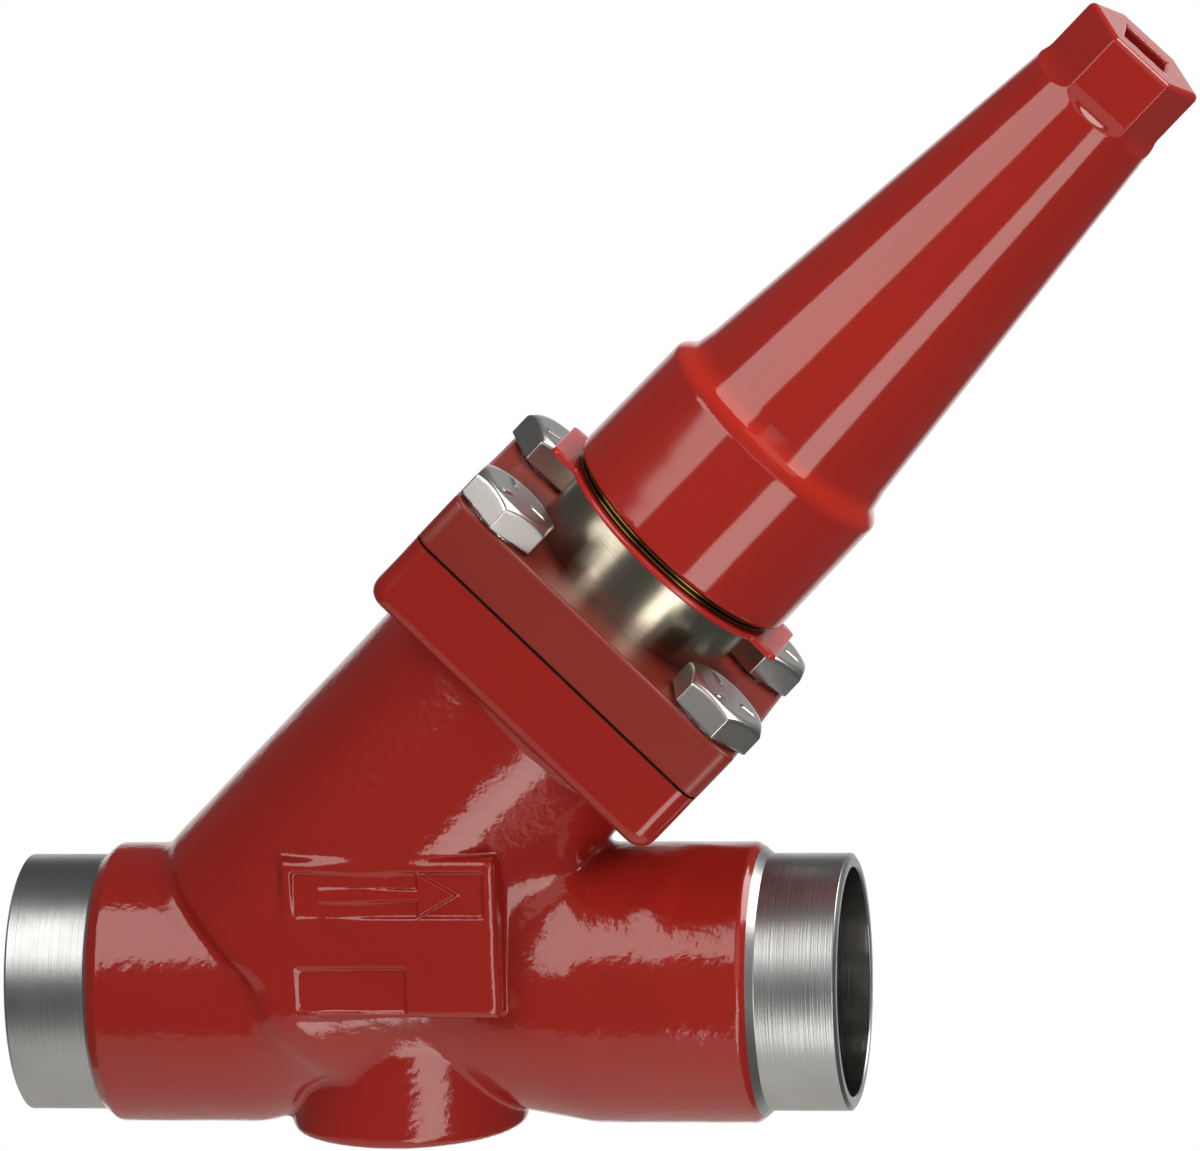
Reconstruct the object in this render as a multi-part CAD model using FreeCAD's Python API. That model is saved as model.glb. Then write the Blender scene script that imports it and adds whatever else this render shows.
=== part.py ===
import FreeCAD, Part
import math
import os
from FreeCAD import Placement, Rotation, Vector

# A straight stop valve with butt-weld ends and a bonnet that leans 45 degrees.
# Millimetres. The origin is the centre of the left (inlet) weld face, +X runs
# along the pipe towards the outlet, +Z is up, and the bonnet leans towards +X.
# Pieces on the bonnet axis are drawn upright round their own Z axis, where
# height is the distance from the pipe axis, and then leaned into place.

# Pipe ends
tube_diameter = 48.3
tube_wall = 2.6
weld_bevel = 0.9
weld_bevel_angle = 30.0
spigot_length = 15.3
face_to_face = 158.0

# Cast runs of the body
run_diameter = 52.8
shoulder_length = 3.6
shoulder_radius = 3.2
waist_diameter = 47.2
inlet_waist_start = 46.0
inlet_waist_slope = 14.4
inlet_waist_blend = 10.8
outlet_waist_end = 113.0
outlet_waist_slope = 21.6
waist_blend = 18.0
throat_diameter = 35.0

# Bonnet axis and the neck round it
bonnet_lean = 45.0
bonnet_axis_station = 43.0
neck_wall = 5.8
neck_bottom = 7.6
neck_bottom_radius = 6.0
neck_blend = 4.0
chamber_diameter = 47.6

# Seat
seat_floor = 22.0
seat_rim_height = 1.0
seat_rim_width = 2.0
seat_bore = 37.0

# Body flange and bonnet plate
flange_corner_radius = 5.8
flange_edge_radius = 3.2
flange_blend = 2.5
flange_clearance = 5.2
flange_thickness = 14.4
flange_gap = 0.35
plate_thickness = 10.8
plate_corner_radius = 3.0
plate_edge_chamfer = 0.7

# Bolts, M10 with 17 mm heads
bolt_land = 4.1
bolt_edge_distance = 8.6
bolt_diameter = 10.0
bolt_hole_clearance = 0.5
bolt_thread_reach = 12.4
bolt_head_width = 17.0
bolt_head_height = 6.4
bolt_washer_face = 0.5
bolt_chamfer_angle = 30.0
bolt_crown_share = 0.93
bolt_washer_share = 0.95
bolt_point_share = 0.1
bolt_turns = (0.0, 17.0, 6.5, -25.5)

# Bottom boss and marking pad
boss_diameter = 44.8
boss_station = 72.3
boss_drop = 27.4
boss_edge_chamfer = 1.3
pad_width = 40.8
pad_height = 30.2
pad_left = 55.2
pad_bottom = -0.2
pad_face = 29.8
pad_corner_radius = 1.6
window_depth = 0.9
window_margin = 2.4
upper_window_height = 8.6
lower_window_width = 20.6
lower_window_height = 8.4

# Bonnet gasket
gasket_width = 4.6
gasket_thickness = 1.3

# Bonnet
bonnet_spigot_length = 19.0
spigot_clearance = 0.1
bonnet_neck_diameter = 43.4
bonnet_neck_height = 12.55
cap_thread_diameter = 40.8
cap_thread_length = 17.6
thread_relief = 0.6
bonnet_chamfer = 0.5

# Spindle
stem_diameter = 14.0
spindle_thread_diameter = 18.0
spindle_thread_length = 30.0
back_seat_diameter = 21.0
back_seat_height = 4.0
spindle_square = 9.0
spindle_square_length = 18.0
spindle_square_edge = 0.4
spindle_chamfer = 1.0
spindle_reach = 62.5
spindle_turns = 8
spindle_pitch = 2.0
running_clearance = 0.06
back_seat_clearance = 0.3

# Stuffing box
stuffing_diameter = 25.0
packing_washer_height = 1.5
packing_ring_height = 4.0
packing_ring_count = 3
gland_hex_width = 27.0
gland_hex_height = 6.0
o_ring_section = 2.4
o_ring_groove = 1.9
wiper_height = 2.2
wiper_section = 2.2

# Cone
cone_diameter = 45.0
cone_rim_height = 7.0
cone_hub_diameter = 28.0
cone_hub_height = 25.0
cone_shoulder_height = 6.0
cone_lip = 0.6
cone_chamfer = 1.2
seal_ring_width = 3.8
seal_ring_height = 3.0
seat_clearance = 0.05
clamp_disc_height = 4.0
clamp_disc_clearance = 0.4
clamp_disc_chamfer = 1.2
clamp_screw_diameter = 8.0
clamp_screw_depth = 6.0
clamp_screw_head_width = 13.0
clamp_screw_head_height = 4.0
spindle_end_diameter = 18.0
spindle_end_station = 34.8
lock_ring_section = 3.0
lock_ring_station = 39.0
lock_groove_depth = 1.5
lock_ring_gap = 4.0
spring_thickness = 0.8
spring_cone = 0.5
spring_count = 2
spring_clearance = 0.5
spring_bore = 8.5
thrust_washer_height = 1.0

# Marking ring and cap
ring_thickness = 1.1
ring_diameter = 50.4
ring_tab_reach = 28.3
ring_tab_width = 23.0
ring_tab_corner = 1.5
cap_gasket_thickness = 1.9
cap_gasket_diameter = 47.8
cap_skirt_diameter = 50.3
cap_ridge_diameter = 49.6
cap_ridge_height = 26.1
cap_shoulder_height = 6.5
cap_shoulder_drop = 2.2
cap_shoulder_flare = 0.9
cap_shoulder_radius = 2.0
cap_cone_bottom_diameter = 43.4
cap_cone_top_diameter = 27.5
cap_wall = 3.4
cap_height = 126.7
cap_hex_width = 23.0
cap_hex_height = 14.8
cap_hex_turn = 35.8
cap_hex_run_out = 4.0
cap_roof_drop = 2.0
cap_socket_clearance = 0.7
cap_socket_depth = 11.0
cap_thread_turns = 8
cap_thread_pitch = 2.0
cap_edge_chamfer = 0.6

# How far a cutting shape reaches past the metal it cuts
overcut = 1.0

# Worked out from the sizes above
tube_radius = tube_diameter / 2
bore_radius = tube_radius - tube_wall
run_radius = run_diameter / 2
waist_radius = waist_diameter / 2
throat_radius = throat_diameter / 2
chamber_radius = chamber_diameter / 2
neck_radius = chamber_radius + neck_wall
seat_radius = seat_bore / 2
seat_plane = seat_floor + seat_rim_height
lean_sine = math.sin(math.radians(bonnet_lean))
lean_cosine = math.cos(math.radians(bonnet_lean))
gasket_radius = chamber_radius + gasket_width
bolt_circle_radius = gasket_radius + bolt_land + bolt_diameter / 2
bolt_spacing = bolt_circle_radius * math.sqrt(2)
flange_side = bolt_spacing + 2 * bolt_edge_distance
flange_bottom = (run_radius + flange_clearance + flange_side / 2 * lean_sine) / lean_cosine
flange_height = flange_bottom + flange_thickness
plate_bottom = flange_height + flange_gap
plate_top = plate_bottom + plate_thickness
bonnet_shoulder = plate_top + bonnet_neck_height
bonnet_top = bonnet_shoulder + cap_thread_length
spindle_top = bonnet_top + spindle_reach
spigot_bottom = plate_bottom - bonnet_spigot_length
stem_radius = stem_diameter / 2
spindle_lift = spindle_turns * spindle_pitch
stuffing_radius = stuffing_diameter / 2
stuffing_floor = spigot_bottom + spindle_thread_length
packing_bottom = stuffing_floor + packing_washer_height
gland_bottom = packing_bottom + packing_ring_count * packing_ring_height
gland_top = bonnet_top + gland_hex_height
cap_thread_radius = cap_thread_diameter / 2
ring_bottom = bonnet_shoulder
cap_gasket_bottom = ring_bottom + ring_thickness
cap_bottom = cap_gasket_bottom + cap_gasket_thickness
cap_top = cap_bottom + cap_height


def lean(shape):
    """Moves an upright shape onto the bonnet axis."""
    place = Placement(Vector(bonnet_axis_station, 0, 0), Rotation(Vector(0, 1, 0), bonnet_lean))
    moved = shape.copy()
    moved.Placement = place.multiply(moved.Placement)
    return moved


def rounded_wire(corners):
    """Closed wire in the XZ plane. Each corner is (x, z) or (x, z, radius).

    A negative radius cuts the corner off straight, that far back on both sides.
    """
    count = len(corners)
    points = [Vector(corner[0], 0, corner[1]) for corner in corners]
    radii = [corner[2] if len(corner) > 2 else 0.0 for corner in corners]
    edges = []
    starts = []
    ends = []
    middles = []
    for i in range(count):
        here, radius = points[i], radii[i]
        before = (points[i - 1] - here).normalize()
        after = (points[(i + 1) % count] - here).normalize()
        if radius <= 0:
            starts.append(here - before * radius)
            ends.append(here - after * radius)
            middles.append(None)
            continue
        half = before.getAngle(after) / 2
        reach = radius / math.tan(half)
        bisector = (before + after).normalize()
        starts.append(here + before * reach)
        ends.append(here + after * reach)
        middles.append(here + bisector * (radius / math.sin(half) - radius))
    for i in range(count):
        if middles[i] is not None:
            edges.append(Part.Arc(starts[i], middles[i], ends[i]).toShape())
        elif radii[i] < 0:
            edges.append(Part.LineSegment(starts[i], ends[i]).toShape())
        following = starts[(i + 1) % count]
        if (following - ends[i]).Length > 1e-6:
            edges.append(Part.LineSegment(ends[i], following).toShape())
    return Part.Wire(edges)


def turned(corners):
    """Solid of revolution round Z. Each corner is (radius, height[, rounding])."""
    face = Part.Face(rounded_wire(corners))
    return face.revolve(Vector(0, 0, 0), Vector(0, 0, 1), 360)


def rod(radius, bottom, top):
    """Upright cylinder between two heights."""
    return Part.makeCylinder(radius, top - bottom, Vector(0, 0, bottom))


def tube(inner, outer, bottom, top):
    """Upright ring between two radii and two heights."""
    return turned([(inner, bottom), (outer, bottom), (outer, top), (inner, top)])


def along_pipe(shape):
    """Turns an upright shape so that its Z axis becomes the pipe's X axis."""
    moved = shape.copy()
    turn = Placement(Vector(0, 0, 0), Rotation(Vector(0, 1, 0), 90))
    moved.Placement = turn.multiply(moved.Placement)
    return moved


def rounded_block(length, width, bottom, top, corner_radius):
    """Upright block, centred on the Z axis, with rounded upright corners."""
    block = Part.makeBox(length, width, top - bottom, Vector(-length / 2, -width / 2, bottom))
    upright = [edge for edge in block.Edges if abs(edge.tangentAt(edge.FirstParameter).z) > 0.99]
    return block.makeFillet(corner_radius, upright)


def hexagon_prism(width, bottom, top):
    """Upright hexagonal prism with its corners on the Y axis, across flats width."""
    corner = width / 2 / math.cos(math.pi / 6)
    points = [
        Vector(corner * math.sin(step * math.pi / 3), corner * math.cos(step * math.pi / 3), bottom)
        for step in range(7)
    ]
    return Part.Face(Part.makePolygon(points)).extrude(Vector(0, 0, top - bottom))


def bolt_places():
    """Bolt centres on the flange, as (x, y, turn of the head)."""
    half = bolt_spacing / 2
    corners = [(-half, -half), (half, -half), (half, half), (-half, half)]
    return [(x, y, turn) for (x, y), turn in zip(corners, bolt_turns)]


def cast_run():
    """Outside of the straight run, with bare weld ends and a waist at the middle."""
    bevel_run = weld_bevel * math.tan(math.radians(weld_bevel_angle))
    inlet_shoulder = spigot_length
    outlet_shoulder = face_to_face - spigot_length
    return along_pipe(turned([
        (0, 0),
        (tube_radius - weld_bevel, 0),
        (tube_radius, bevel_run),
        (tube_radius, inlet_shoulder),
        (run_radius, inlet_shoulder + shoulder_length, shoulder_radius),
        (run_radius, inlet_waist_start, waist_blend),
        (waist_radius, inlet_waist_start + inlet_waist_slope, inlet_waist_blend),
        (waist_radius, outlet_waist_end - outlet_waist_slope, waist_blend),
        (run_radius, outlet_waist_end, waist_blend),
        (run_radius, outlet_shoulder - shoulder_length, shoulder_radius),
        (tube_radius, outlet_shoulder),
        (tube_radius, face_to_face - bevel_run),
        (tube_radius - weld_bevel, face_to_face),
        (0, face_to_face),
    ]))


def cast_neck():
    """Outside of the leaning neck, closed and rounded at its lower end."""
    return lean(turned([
        (0, neck_bottom),
        (neck_radius, neck_bottom, neck_bottom_radius),
        (neck_radius, flange_bottom + flange_edge_radius),
        (0, flange_bottom + flange_edge_radius),
    ]))


def cast_flange():
    """Body flange with its lower edge rounded."""
    block = rounded_block(flange_side, flange_side, flange_bottom, flange_height, flange_corner_radius)
    lower = [edge for edge in block.Edges if edge.BoundBox.ZMax < flange_bottom + 0.01]
    return lean(block.makeFillet(flange_edge_radius, lower))


def cast_boss():
    """Round boss under the body."""
    radius = boss_diameter / 2
    boss = turned([(0, -boss_drop), (radius, -boss_drop, -boss_edge_chamfer), (radius, 0), (0, 0)])
    boss.translate(Vector(boss_station, 0, 0))
    return boss


def marking_pad():
    """Raised pad on the near side of the body, with two sunk windows."""
    pad = Part.makeBox(pad_width, pad_face, pad_height, Vector(pad_left, -pad_face, pad_bottom))
    front = [edge for edge in pad.Edges if edge.BoundBox.YMax < -pad_face + 0.01]
    pad = pad.makeFillet(pad_corner_radius, front)
    upper = Part.makeBox(
        pad_width - 2 * window_margin, window_depth, upper_window_height,
        Vector(pad_left + window_margin, -pad_face, pad_bottom + pad_height - window_margin - upper_window_height))
    lower = Part.makeBox(
        lower_window_width, window_depth, lower_window_height,
        Vector(pad_left + window_margin, -pad_face, pad_bottom + window_margin / 2))
    return pad.cut(upper).cut(lower)


def flow_passage():
    """Everything hollow inside the body."""
    inlet = along_pipe(rod(bore_radius, 0, bonnet_axis_station))
    elbow = Part.makeSphere(bore_radius, Vector(bonnet_axis_station, 0, 0))
    seat = lean(rod(seat_radius, 0, seat_plane))
    chamber = lean(rod(chamber_radius, seat_floor, flange_height).cut(
        tube(seat_radius, seat_radius + seat_rim_width, seat_floor, seat_plane)))
    reach = outlet_waist_end - waist_blend
    outlet = along_pipe(turned([
        (0, bonnet_axis_station),
        (throat_radius, bonnet_axis_station),
        (throat_radius, reach, waist_blend),
        (bore_radius, outlet_waist_end + waist_blend / 2, waist_blend),
        (bore_radius, face_to_face),
        (0, face_to_face),
    ]))
    above_seat = lean(rod(face_to_face, seat_floor, flange_height + face_to_face))
    return inlet.fuse([elbow, seat, chamber, outlet.common(above_seat)])


def on_shell(edge, shape):
    """Whether an edge lies on the outside of a shape, tried at three places along it."""
    for share in (0.1, 0.5, 0.9):
        place = edge.FirstParameter + share * (edge.LastParameter - edge.FirstParameter)
        if Part.Vertex(edge.valueAt(place)).distToShape(shape.Shells[0])[0] > 1e-4:
            return False
    return True


def blended(one, other, radius):
    """Union of two forms with a cast fillet along the crease between them."""
    joined = one.fuse(other)
    creases = [
        edge for edge in joined.Edges
        if not edge.Degenerated and on_shell(edge, one) and on_shell(edge, other)
    ]
    return joined.makeFillet(radius, creases)


def make_valve_body():
    """Cast body: runs, neck, flange, boss and pad, with passage, gasket seat and bolt holes."""
    neck = blended(cast_neck(), cast_flange(), flange_blend)
    casting = blended(cast_run(), neck, neck_blend).fuse([cast_boss(), marking_pad()])
    body = casting.cut(flow_passage())
    seat_depth = gasket_thickness - flange_gap
    recess = rod(gasket_radius, flange_height - seat_depth, flange_height)
    body = body.cut(lean(recess))
    for x, y, turn in bolt_places():
        hole = rod(bolt_diameter / 2, flange_bottom, flange_height)
        hole.translate(Vector(x, y, 0))
        body = body.cut(lean(hole))
    return body


def make_bonnet_gasket():
    """Flat ring in the recess of the body flange."""
    bottom = plate_bottom - gasket_thickness
    return lean(tube(chamber_radius, gasket_radius, bottom, plate_bottom))


def make_bonnet():
    """Plate, lower spigot, bare neck and cap thread, bored for spindle and packing."""
    plate = rounded_block(flange_side, flange_side, plate_bottom, plate_top, plate_corner_radius)
    upper = [edge for edge in plate.Edges if edge.BoundBox.ZMin > plate_top - 0.01]
    plate = plate.makeChamfer(plate_edge_chamfer, upper)
    thread_bore = spindle_thread_diameter / 2 + running_clearance
    stalk = turned([
        (thread_bore, spigot_bottom),
        (chamber_radius - spigot_clearance, spigot_bottom, -bonnet_chamfer),
        (chamber_radius - spigot_clearance, plate_bottom),
        (bonnet_neck_diameter / 2, plate_bottom),
        (bonnet_neck_diameter / 2, bonnet_shoulder, -bonnet_chamfer),
        (cap_thread_radius, bonnet_shoulder),
        (cap_thread_radius, bonnet_top, -bonnet_chamfer),
        (stuffing_radius, bonnet_top),
        (stuffing_radius, stuffing_floor),
        (thread_bore, stuffing_floor),
    ])
    core = rod(bonnet_neck_diameter / 2 - thread_relief, plate_bottom, plate_top)
    bonnet = plate.cut(core).fuse(stalk)
    for x, y, turn in bolt_places():
        hole = rod(bolt_diameter / 2 + bolt_hole_clearance, plate_bottom, plate_top)
        hole.translate(Vector(x, y, 0))
        bonnet = bonnet.cut(hole)
    return lean(bonnet.removeSplitter())


def hexagon_bolt(diameter, head_width, head_height, shank, turn):
    """Hexagon-head bolt, head base at zero, chamfered head, washer face and shank below."""
    corner = head_width / 2 / math.cos(math.pi / 6)
    crown = head_width / 2 * bolt_crown_share
    slope = math.tan(math.radians(bolt_chamfer_angle))
    head = hexagon_prism(head_width, bolt_washer_face, head_height)
    envelope = turned([
        (0, 0),
        (corner + overcut, 0),
        (corner + overcut, head_height - (corner + overcut - crown) * slope),
        (crown, head_height),
        (0, head_height),
    ])
    head = head.common(envelope)
    washer_face = rod(head_width / 2 * bolt_washer_share, 0, bolt_washer_face)
    stem = turned([
        (0, -shank),
        (diameter / 2, -shank, -diameter * bolt_point_share),
        (diameter / 2, 0),
        (0, 0),
    ])
    bolt = head.fuse([washer_face, stem])
    bolt.rotate(Vector(0, 0, 0), Vector(0, 0, 1), turn)
    return bolt


def make_bonnet_bolts():
    """The four bolts that hold the bonnet, each a solid of its own."""
    shank = plate_thickness + flange_gap + bolt_thread_reach
    bolts = []
    for x, y, turn in bolt_places():
        bolt = hexagon_bolt(bolt_diameter, bolt_head_width, bolt_head_height, shank, turn)
        bolt.translate(Vector(x, y, plate_top))
        bolts.append(lean(bolt))
    return Part.makeCompound(bolts)


def make_marking_ring():
    """Thin ring plate with a tab on each side, between bonnet shoulder and cap gasket."""
    radius = ring_diameter / 2
    tabs = Part.makeBox(2 * ring_tab_reach, ring_tab_width, ring_thickness,
                        Vector(-ring_tab_reach, -ring_tab_width / 2, ring_bottom))
    upright = [edge for edge in tabs.Edges if abs(edge.tangentAt(edge.FirstParameter).z) > 0.99]
    tabs = tabs.makeFillet(ring_tab_corner, upright)
    disc = rod(radius, ring_bottom, cap_gasket_bottom)
    bore = rod(cap_thread_radius, ring_bottom, cap_gasket_bottom)
    return lean(disc.fuse(tabs).cut(bore))


def make_packing_washer():
    """Washer at the floor of the stuffing box."""
    inner = stem_radius + running_clearance
    return lean(tube(inner, stuffing_radius, stuffing_floor, packing_bottom))


def make_packing_rings():
    """Packing rings round the stem, one on the other."""
    inner = stem_radius + running_clearance
    rings = []
    for index in range(packing_ring_count):
        bottom = packing_bottom + index * packing_ring_height
        top = bottom + packing_ring_height
        rings.append(lean(tube(inner, stuffing_radius, bottom, top)))
    return Part.makeCompound(rings)


def gland_grooves():
    """Heights of the gland's outer groove, inner groove and wiper seat."""
    outer = gland_bottom + o_ring_section
    inner = outer + 2 * o_ring_section
    wiper = gland_top - wiper_height
    return outer, inner, wiper


def make_packing_gland():
    """Screwed gland with a hexagon that rests on the bonnet."""
    outer_groove, inner_groove, wiper_seat = gland_grooves()
    inner = stem_radius + running_clearance
    sleeve = turned([
        (inner, gland_bottom),
        (stuffing_radius, gland_bottom),
        (stuffing_radius, outer_groove),
        (stuffing_radius - o_ring_groove, outer_groove),
        (stuffing_radius - o_ring_groove, outer_groove + o_ring_section),
        (stuffing_radius, outer_groove + o_ring_section),
        (stuffing_radius, gland_top),
        (stem_radius + wiper_section, gland_top),
        (stem_radius + wiper_section, wiper_seat),
        (inner, wiper_seat),
        (inner, inner_groove + o_ring_section),
        (stem_radius + o_ring_groove, inner_groove + o_ring_section),
        (stem_radius + o_ring_groove, inner_groove),
        (inner, inner_groove),
    ])
    hexagon = hexagon_prism(gland_hex_width, bonnet_top, gland_top)
    hexagon = hexagon.cut(rod(stuffing_radius, bonnet_top, gland_top))
    return lean(sleeve.fuse(hexagon).removeSplitter())


def make_gland_o_ring():
    """Ring in the outer groove of the gland."""
    outer_groove, inner_groove, wiper_seat = gland_grooves()
    inner = stuffing_radius - o_ring_groove
    return lean(tube(inner, stuffing_radius, outer_groove, outer_groove + o_ring_section))


def make_spindle_o_ring():
    """Ring in the inner groove of the gland."""
    outer_groove, inner_groove, wiper_seat = gland_grooves()
    inner = stem_radius + running_clearance
    outer = stem_radius + o_ring_groove
    return lean(tube(inner, outer, inner_groove, inner_groove + o_ring_section))


def make_stem_wiper():
    """Ring at the mouth of the gland that wipes the stem."""
    outer_groove, inner_groove, wiper_seat = gland_grooves()
    inner = stem_radius + running_clearance
    return lean(tube(inner, stem_radius + wiper_section, wiper_seat, gland_top))


def make_spindle():
    """Spindle with its grooved lower end, back seat, thread, stem and square end."""
    end_radius = spindle_end_diameter / 2
    groove_radius = end_radius - lock_groove_depth
    thread_radius = spindle_thread_diameter / 2
    groove_bottom = lock_ring_station - running_clearance
    groove_top = lock_ring_station + lock_ring_section + running_clearance
    hub_top = seat_plane + cone_hub_height
    back_seat_top = spigot_bottom - spindle_lift - back_seat_clearance
    back_seat_bottom = back_seat_top - back_seat_height
    back_seat_radius = back_seat_diameter / 2
    thread_top = stuffing_floor - spindle_lift - back_seat_clearance
    square_corner = spindle_square / 2 * math.sqrt(2)
    body = turned([
        (0, spindle_end_station),
        (end_radius, spindle_end_station, -spindle_chamfer),
        (end_radius, groove_bottom),
        (groove_radius, groove_bottom),
        (groove_radius, groove_top),
        (end_radius, groove_top),
        (end_radius, hub_top),
        (stem_radius, hub_top + end_radius - stem_radius),
        (stem_radius, back_seat_bottom - back_seat_radius + stem_radius),
        (back_seat_radius, back_seat_bottom),
        (back_seat_radius, back_seat_top - back_seat_radius + thread_radius),
        (thread_radius, back_seat_top),
        (thread_radius, thread_top, -spindle_chamfer),
        (stem_radius, thread_top),
        (stem_radius, spindle_top, -spindle_chamfer),
        (0, spindle_top),
    ])
    square_bottom = spindle_top - spindle_square_length
    flats = rod(2 * stem_radius, square_bottom, spindle_top + overcut)
    keep = Part.makeBox(spindle_square, spindle_square, spindle_square_length + overcut,
                        Vector(-spindle_square / 2, -spindle_square / 2, square_bottom))
    corner_limit = rod(square_corner - spindle_square_edge, square_bottom, spindle_top + overcut)
    return lean(body.cut(flats.cut(keep.common(corner_limit))))


def cone_seal_inner():
    """Inner radius of the cone's seal ring, centred on the seat rim."""
    return seat_radius + seat_rim_width / 2 - seal_ring_width / 2


def cone_bottom():
    """Height of the cone's sealing face when the valve is shut."""
    return seat_plane + seat_clearance


def make_cone():
    """Closing cone with seal groove, tapped floor and hub for the spindle end."""
    bottom = cone_bottom()
    inner = cone_seal_inner()
    rim = cone_diameter / 2
    hub = cone_hub_diameter / 2
    hub_top = seat_plane + cone_hub_height
    hub_bore = spindle_end_diameter / 2 + running_clearance
    hub_floor = spring_seat()
    groove_outer = hub_bore - running_clearance + lock_groove_depth
    groove_top = lock_ring_station + lock_ring_section
    body = turned([
        (0, bottom),
        (inner, bottom),
        (inner, bottom + seal_ring_height),
        (inner + seal_ring_width, bottom + seal_ring_height),
        (inner + seal_ring_width, bottom + cone_lip),
        (rim, bottom + cone_lip),
        (rim, bottom + cone_rim_height, -cone_chamfer),
        (hub, bottom + cone_rim_height + cone_shoulder_height),
        (hub, hub_top, -cone_chamfer),
        (hub_bore, hub_top),
        (hub_bore, groove_top),
        (groove_outer, groove_top),
        (groove_outer, lock_ring_station),
        (hub_bore, lock_ring_station),
        (hub_bore, hub_floor),
        (0, hub_floor),
    ])
    tapped = rod(clamp_screw_diameter / 2, bottom, bottom + clamp_screw_depth)
    return lean(body.cut(tapped))


def spring_seat():
    """Height of the hub floor that carries the disc springs."""
    stack = spring_count * (spring_thickness + spring_cone) + thrust_washer_height
    return spindle_end_station - running_clearance - stack


def make_cone_seal_ring():
    """Sealing ring in the face of the cone."""
    inner = cone_seal_inner()
    bottom = cone_bottom()
    return lean(tube(inner, inner + seal_ring_width, bottom, bottom + seal_ring_height))


def make_seal_clamp_disc():
    """Disc under the cone that laps over the inner edge of the seal ring."""
    top = cone_bottom()
    radius = seat_radius - clamp_disc_clearance
    bore = clamp_screw_diameter / 2
    return lean(turned([
        (bore, top - clamp_disc_height),
        (radius, top - clamp_disc_height, -clamp_disc_chamfer),
        (radius, top),
        (bore, top),
    ]))


def make_clamp_screw():
    """Hexagon screw that holds the clamp disc, its head below."""
    screw = hexagon_bolt(clamp_screw_diameter, clamp_screw_head_width, clamp_screw_head_height,
                         clamp_disc_height + clamp_screw_depth, 0)
    screw.rotate(Vector(0, 0, 0), Vector(1, 0, 0), 180)
    screw.translate(Vector(0, 0, cone_bottom() - clamp_disc_height))
    return lean(screw)


def make_cone_lock_ring():
    """Split ring, half in the hub and half in the spindle's groove."""
    inner = spindle_end_diameter / 2 - lock_groove_depth + running_clearance
    outer = spindle_end_diameter / 2 + lock_groove_depth
    top = lock_ring_station + lock_ring_section
    ring = tube(inner, outer, lock_ring_station, top)
    gap = Part.makeBox(2 * outer, lock_ring_gap, lock_ring_section,
                       Vector(0, -lock_ring_gap / 2, lock_ring_station))
    return lean(ring.cut(gap))


def make_disc_springs():
    """Conical disc springs, stacked on the hub floor."""
    outer = spindle_end_diameter / 2 - spring_clearance
    inner = spring_bore / 2
    rise = spring_thickness + spring_cone
    springs = []
    for index in range(spring_count):
        bottom = spring_seat() + index * rise
        inner_lift = spring_cone * ((index + 1) % 2)
        outer_lift = spring_cone * (index % 2)
        spring = turned([
            (inner, bottom + inner_lift),
            (outer, bottom + outer_lift),
            (outer, bottom + outer_lift + spring_thickness),
            (inner, bottom + inner_lift + spring_thickness),
        ])
        springs.append(lean(spring))
    return Part.makeCompound(springs)


def make_thrust_washer():
    """Washer between the disc springs and the spindle end."""
    top = spindle_end_station - running_clearance
    outer = spindle_end_diameter / 2 - spring_clearance
    return lean(tube(spring_bore / 2, outer, top - thrust_washer_height, top))


def make_cap_gasket():
    """Sealing ring between the marking ring and the cap."""
    inner = cap_thread_radius + running_clearance
    return lean(tube(inner, cap_gasket_diameter / 2, cap_gasket_bottom, cap_bottom))


def cap_outside():
    """Outer form of the cap: skirt, rounded ridge, shoulder, long taper and milled hexagon."""
    skirt = cap_skirt_diameter / 2
    ridge = cap_ridge_diameter / 2
    taper_low = cap_cone_bottom_diameter / 2
    taper_high = cap_cone_top_diameter / 2
    ridge_height = cap_bottom + cap_ridge_height
    hex_bottom = cap_top - cap_hex_height
    shell = turned([
        (0, cap_bottom),
        (skirt, cap_bottom, -cap_edge_chamfer),
        (ridge, ridge_height, -cap_edge_chamfer),
        (taper_low + cap_shoulder_flare, ridge_height + cap_shoulder_drop, cap_shoulder_radius),
        (taper_low, ridge_height + cap_shoulder_height, cap_shoulder_height),
        (taper_high, hex_bottom),
        (taper_high, cap_top, -cap_edge_chamfer),
        (0, cap_top),
    ])
    side = Part.Face(rounded_wire([
        (cap_hex_width / 2, cap_top + overcut),
        (cap_hex_width / 2, hex_bottom, cap_hex_run_out),
        (taper_high + cap_hex_run_out, hex_bottom - cap_hex_run_out / 2),
        (taper_high + cap_hex_run_out, cap_top + overcut),
    ]))
    side.translate(Vector(0, -taper_high, 0))
    flat = side.extrude(Vector(0, 2 * taper_high, 0))
    for step in range(6):
        milled = flat.copy()
        milled.rotate(Vector(0, 0, 0), Vector(0, 0, 1), cap_hex_turn + step * 60)
        shell = shell.cut(milled)
    return shell


def cap_inside():
    """Hollow of the cap: thread bore, relief above it and the tapering room for the spindle."""
    thread_bore = cap_thread_radius + running_clearance
    thread_top = cap_bottom + cap_thread_turns * cap_thread_pitch
    ridge_height = cap_bottom + cap_ridge_height
    roof = cap_top - cap_hex_height - cap_roof_drop
    return turned([
        (0, cap_bottom),
        (thread_bore, cap_bottom),
        (thread_bore, thread_top),
        (thread_bore + thread_relief, thread_top),
        (thread_bore + thread_relief, ridge_height - cap_wall / 2),
        (cap_cone_bottom_diameter / 2 - cap_wall, ridge_height + cap_shoulder_height, cap_shoulder_height),
        (cap_cone_top_diameter / 2 - cap_wall, roof, -cap_wall / 2),
        (0, roof),
    ])


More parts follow.
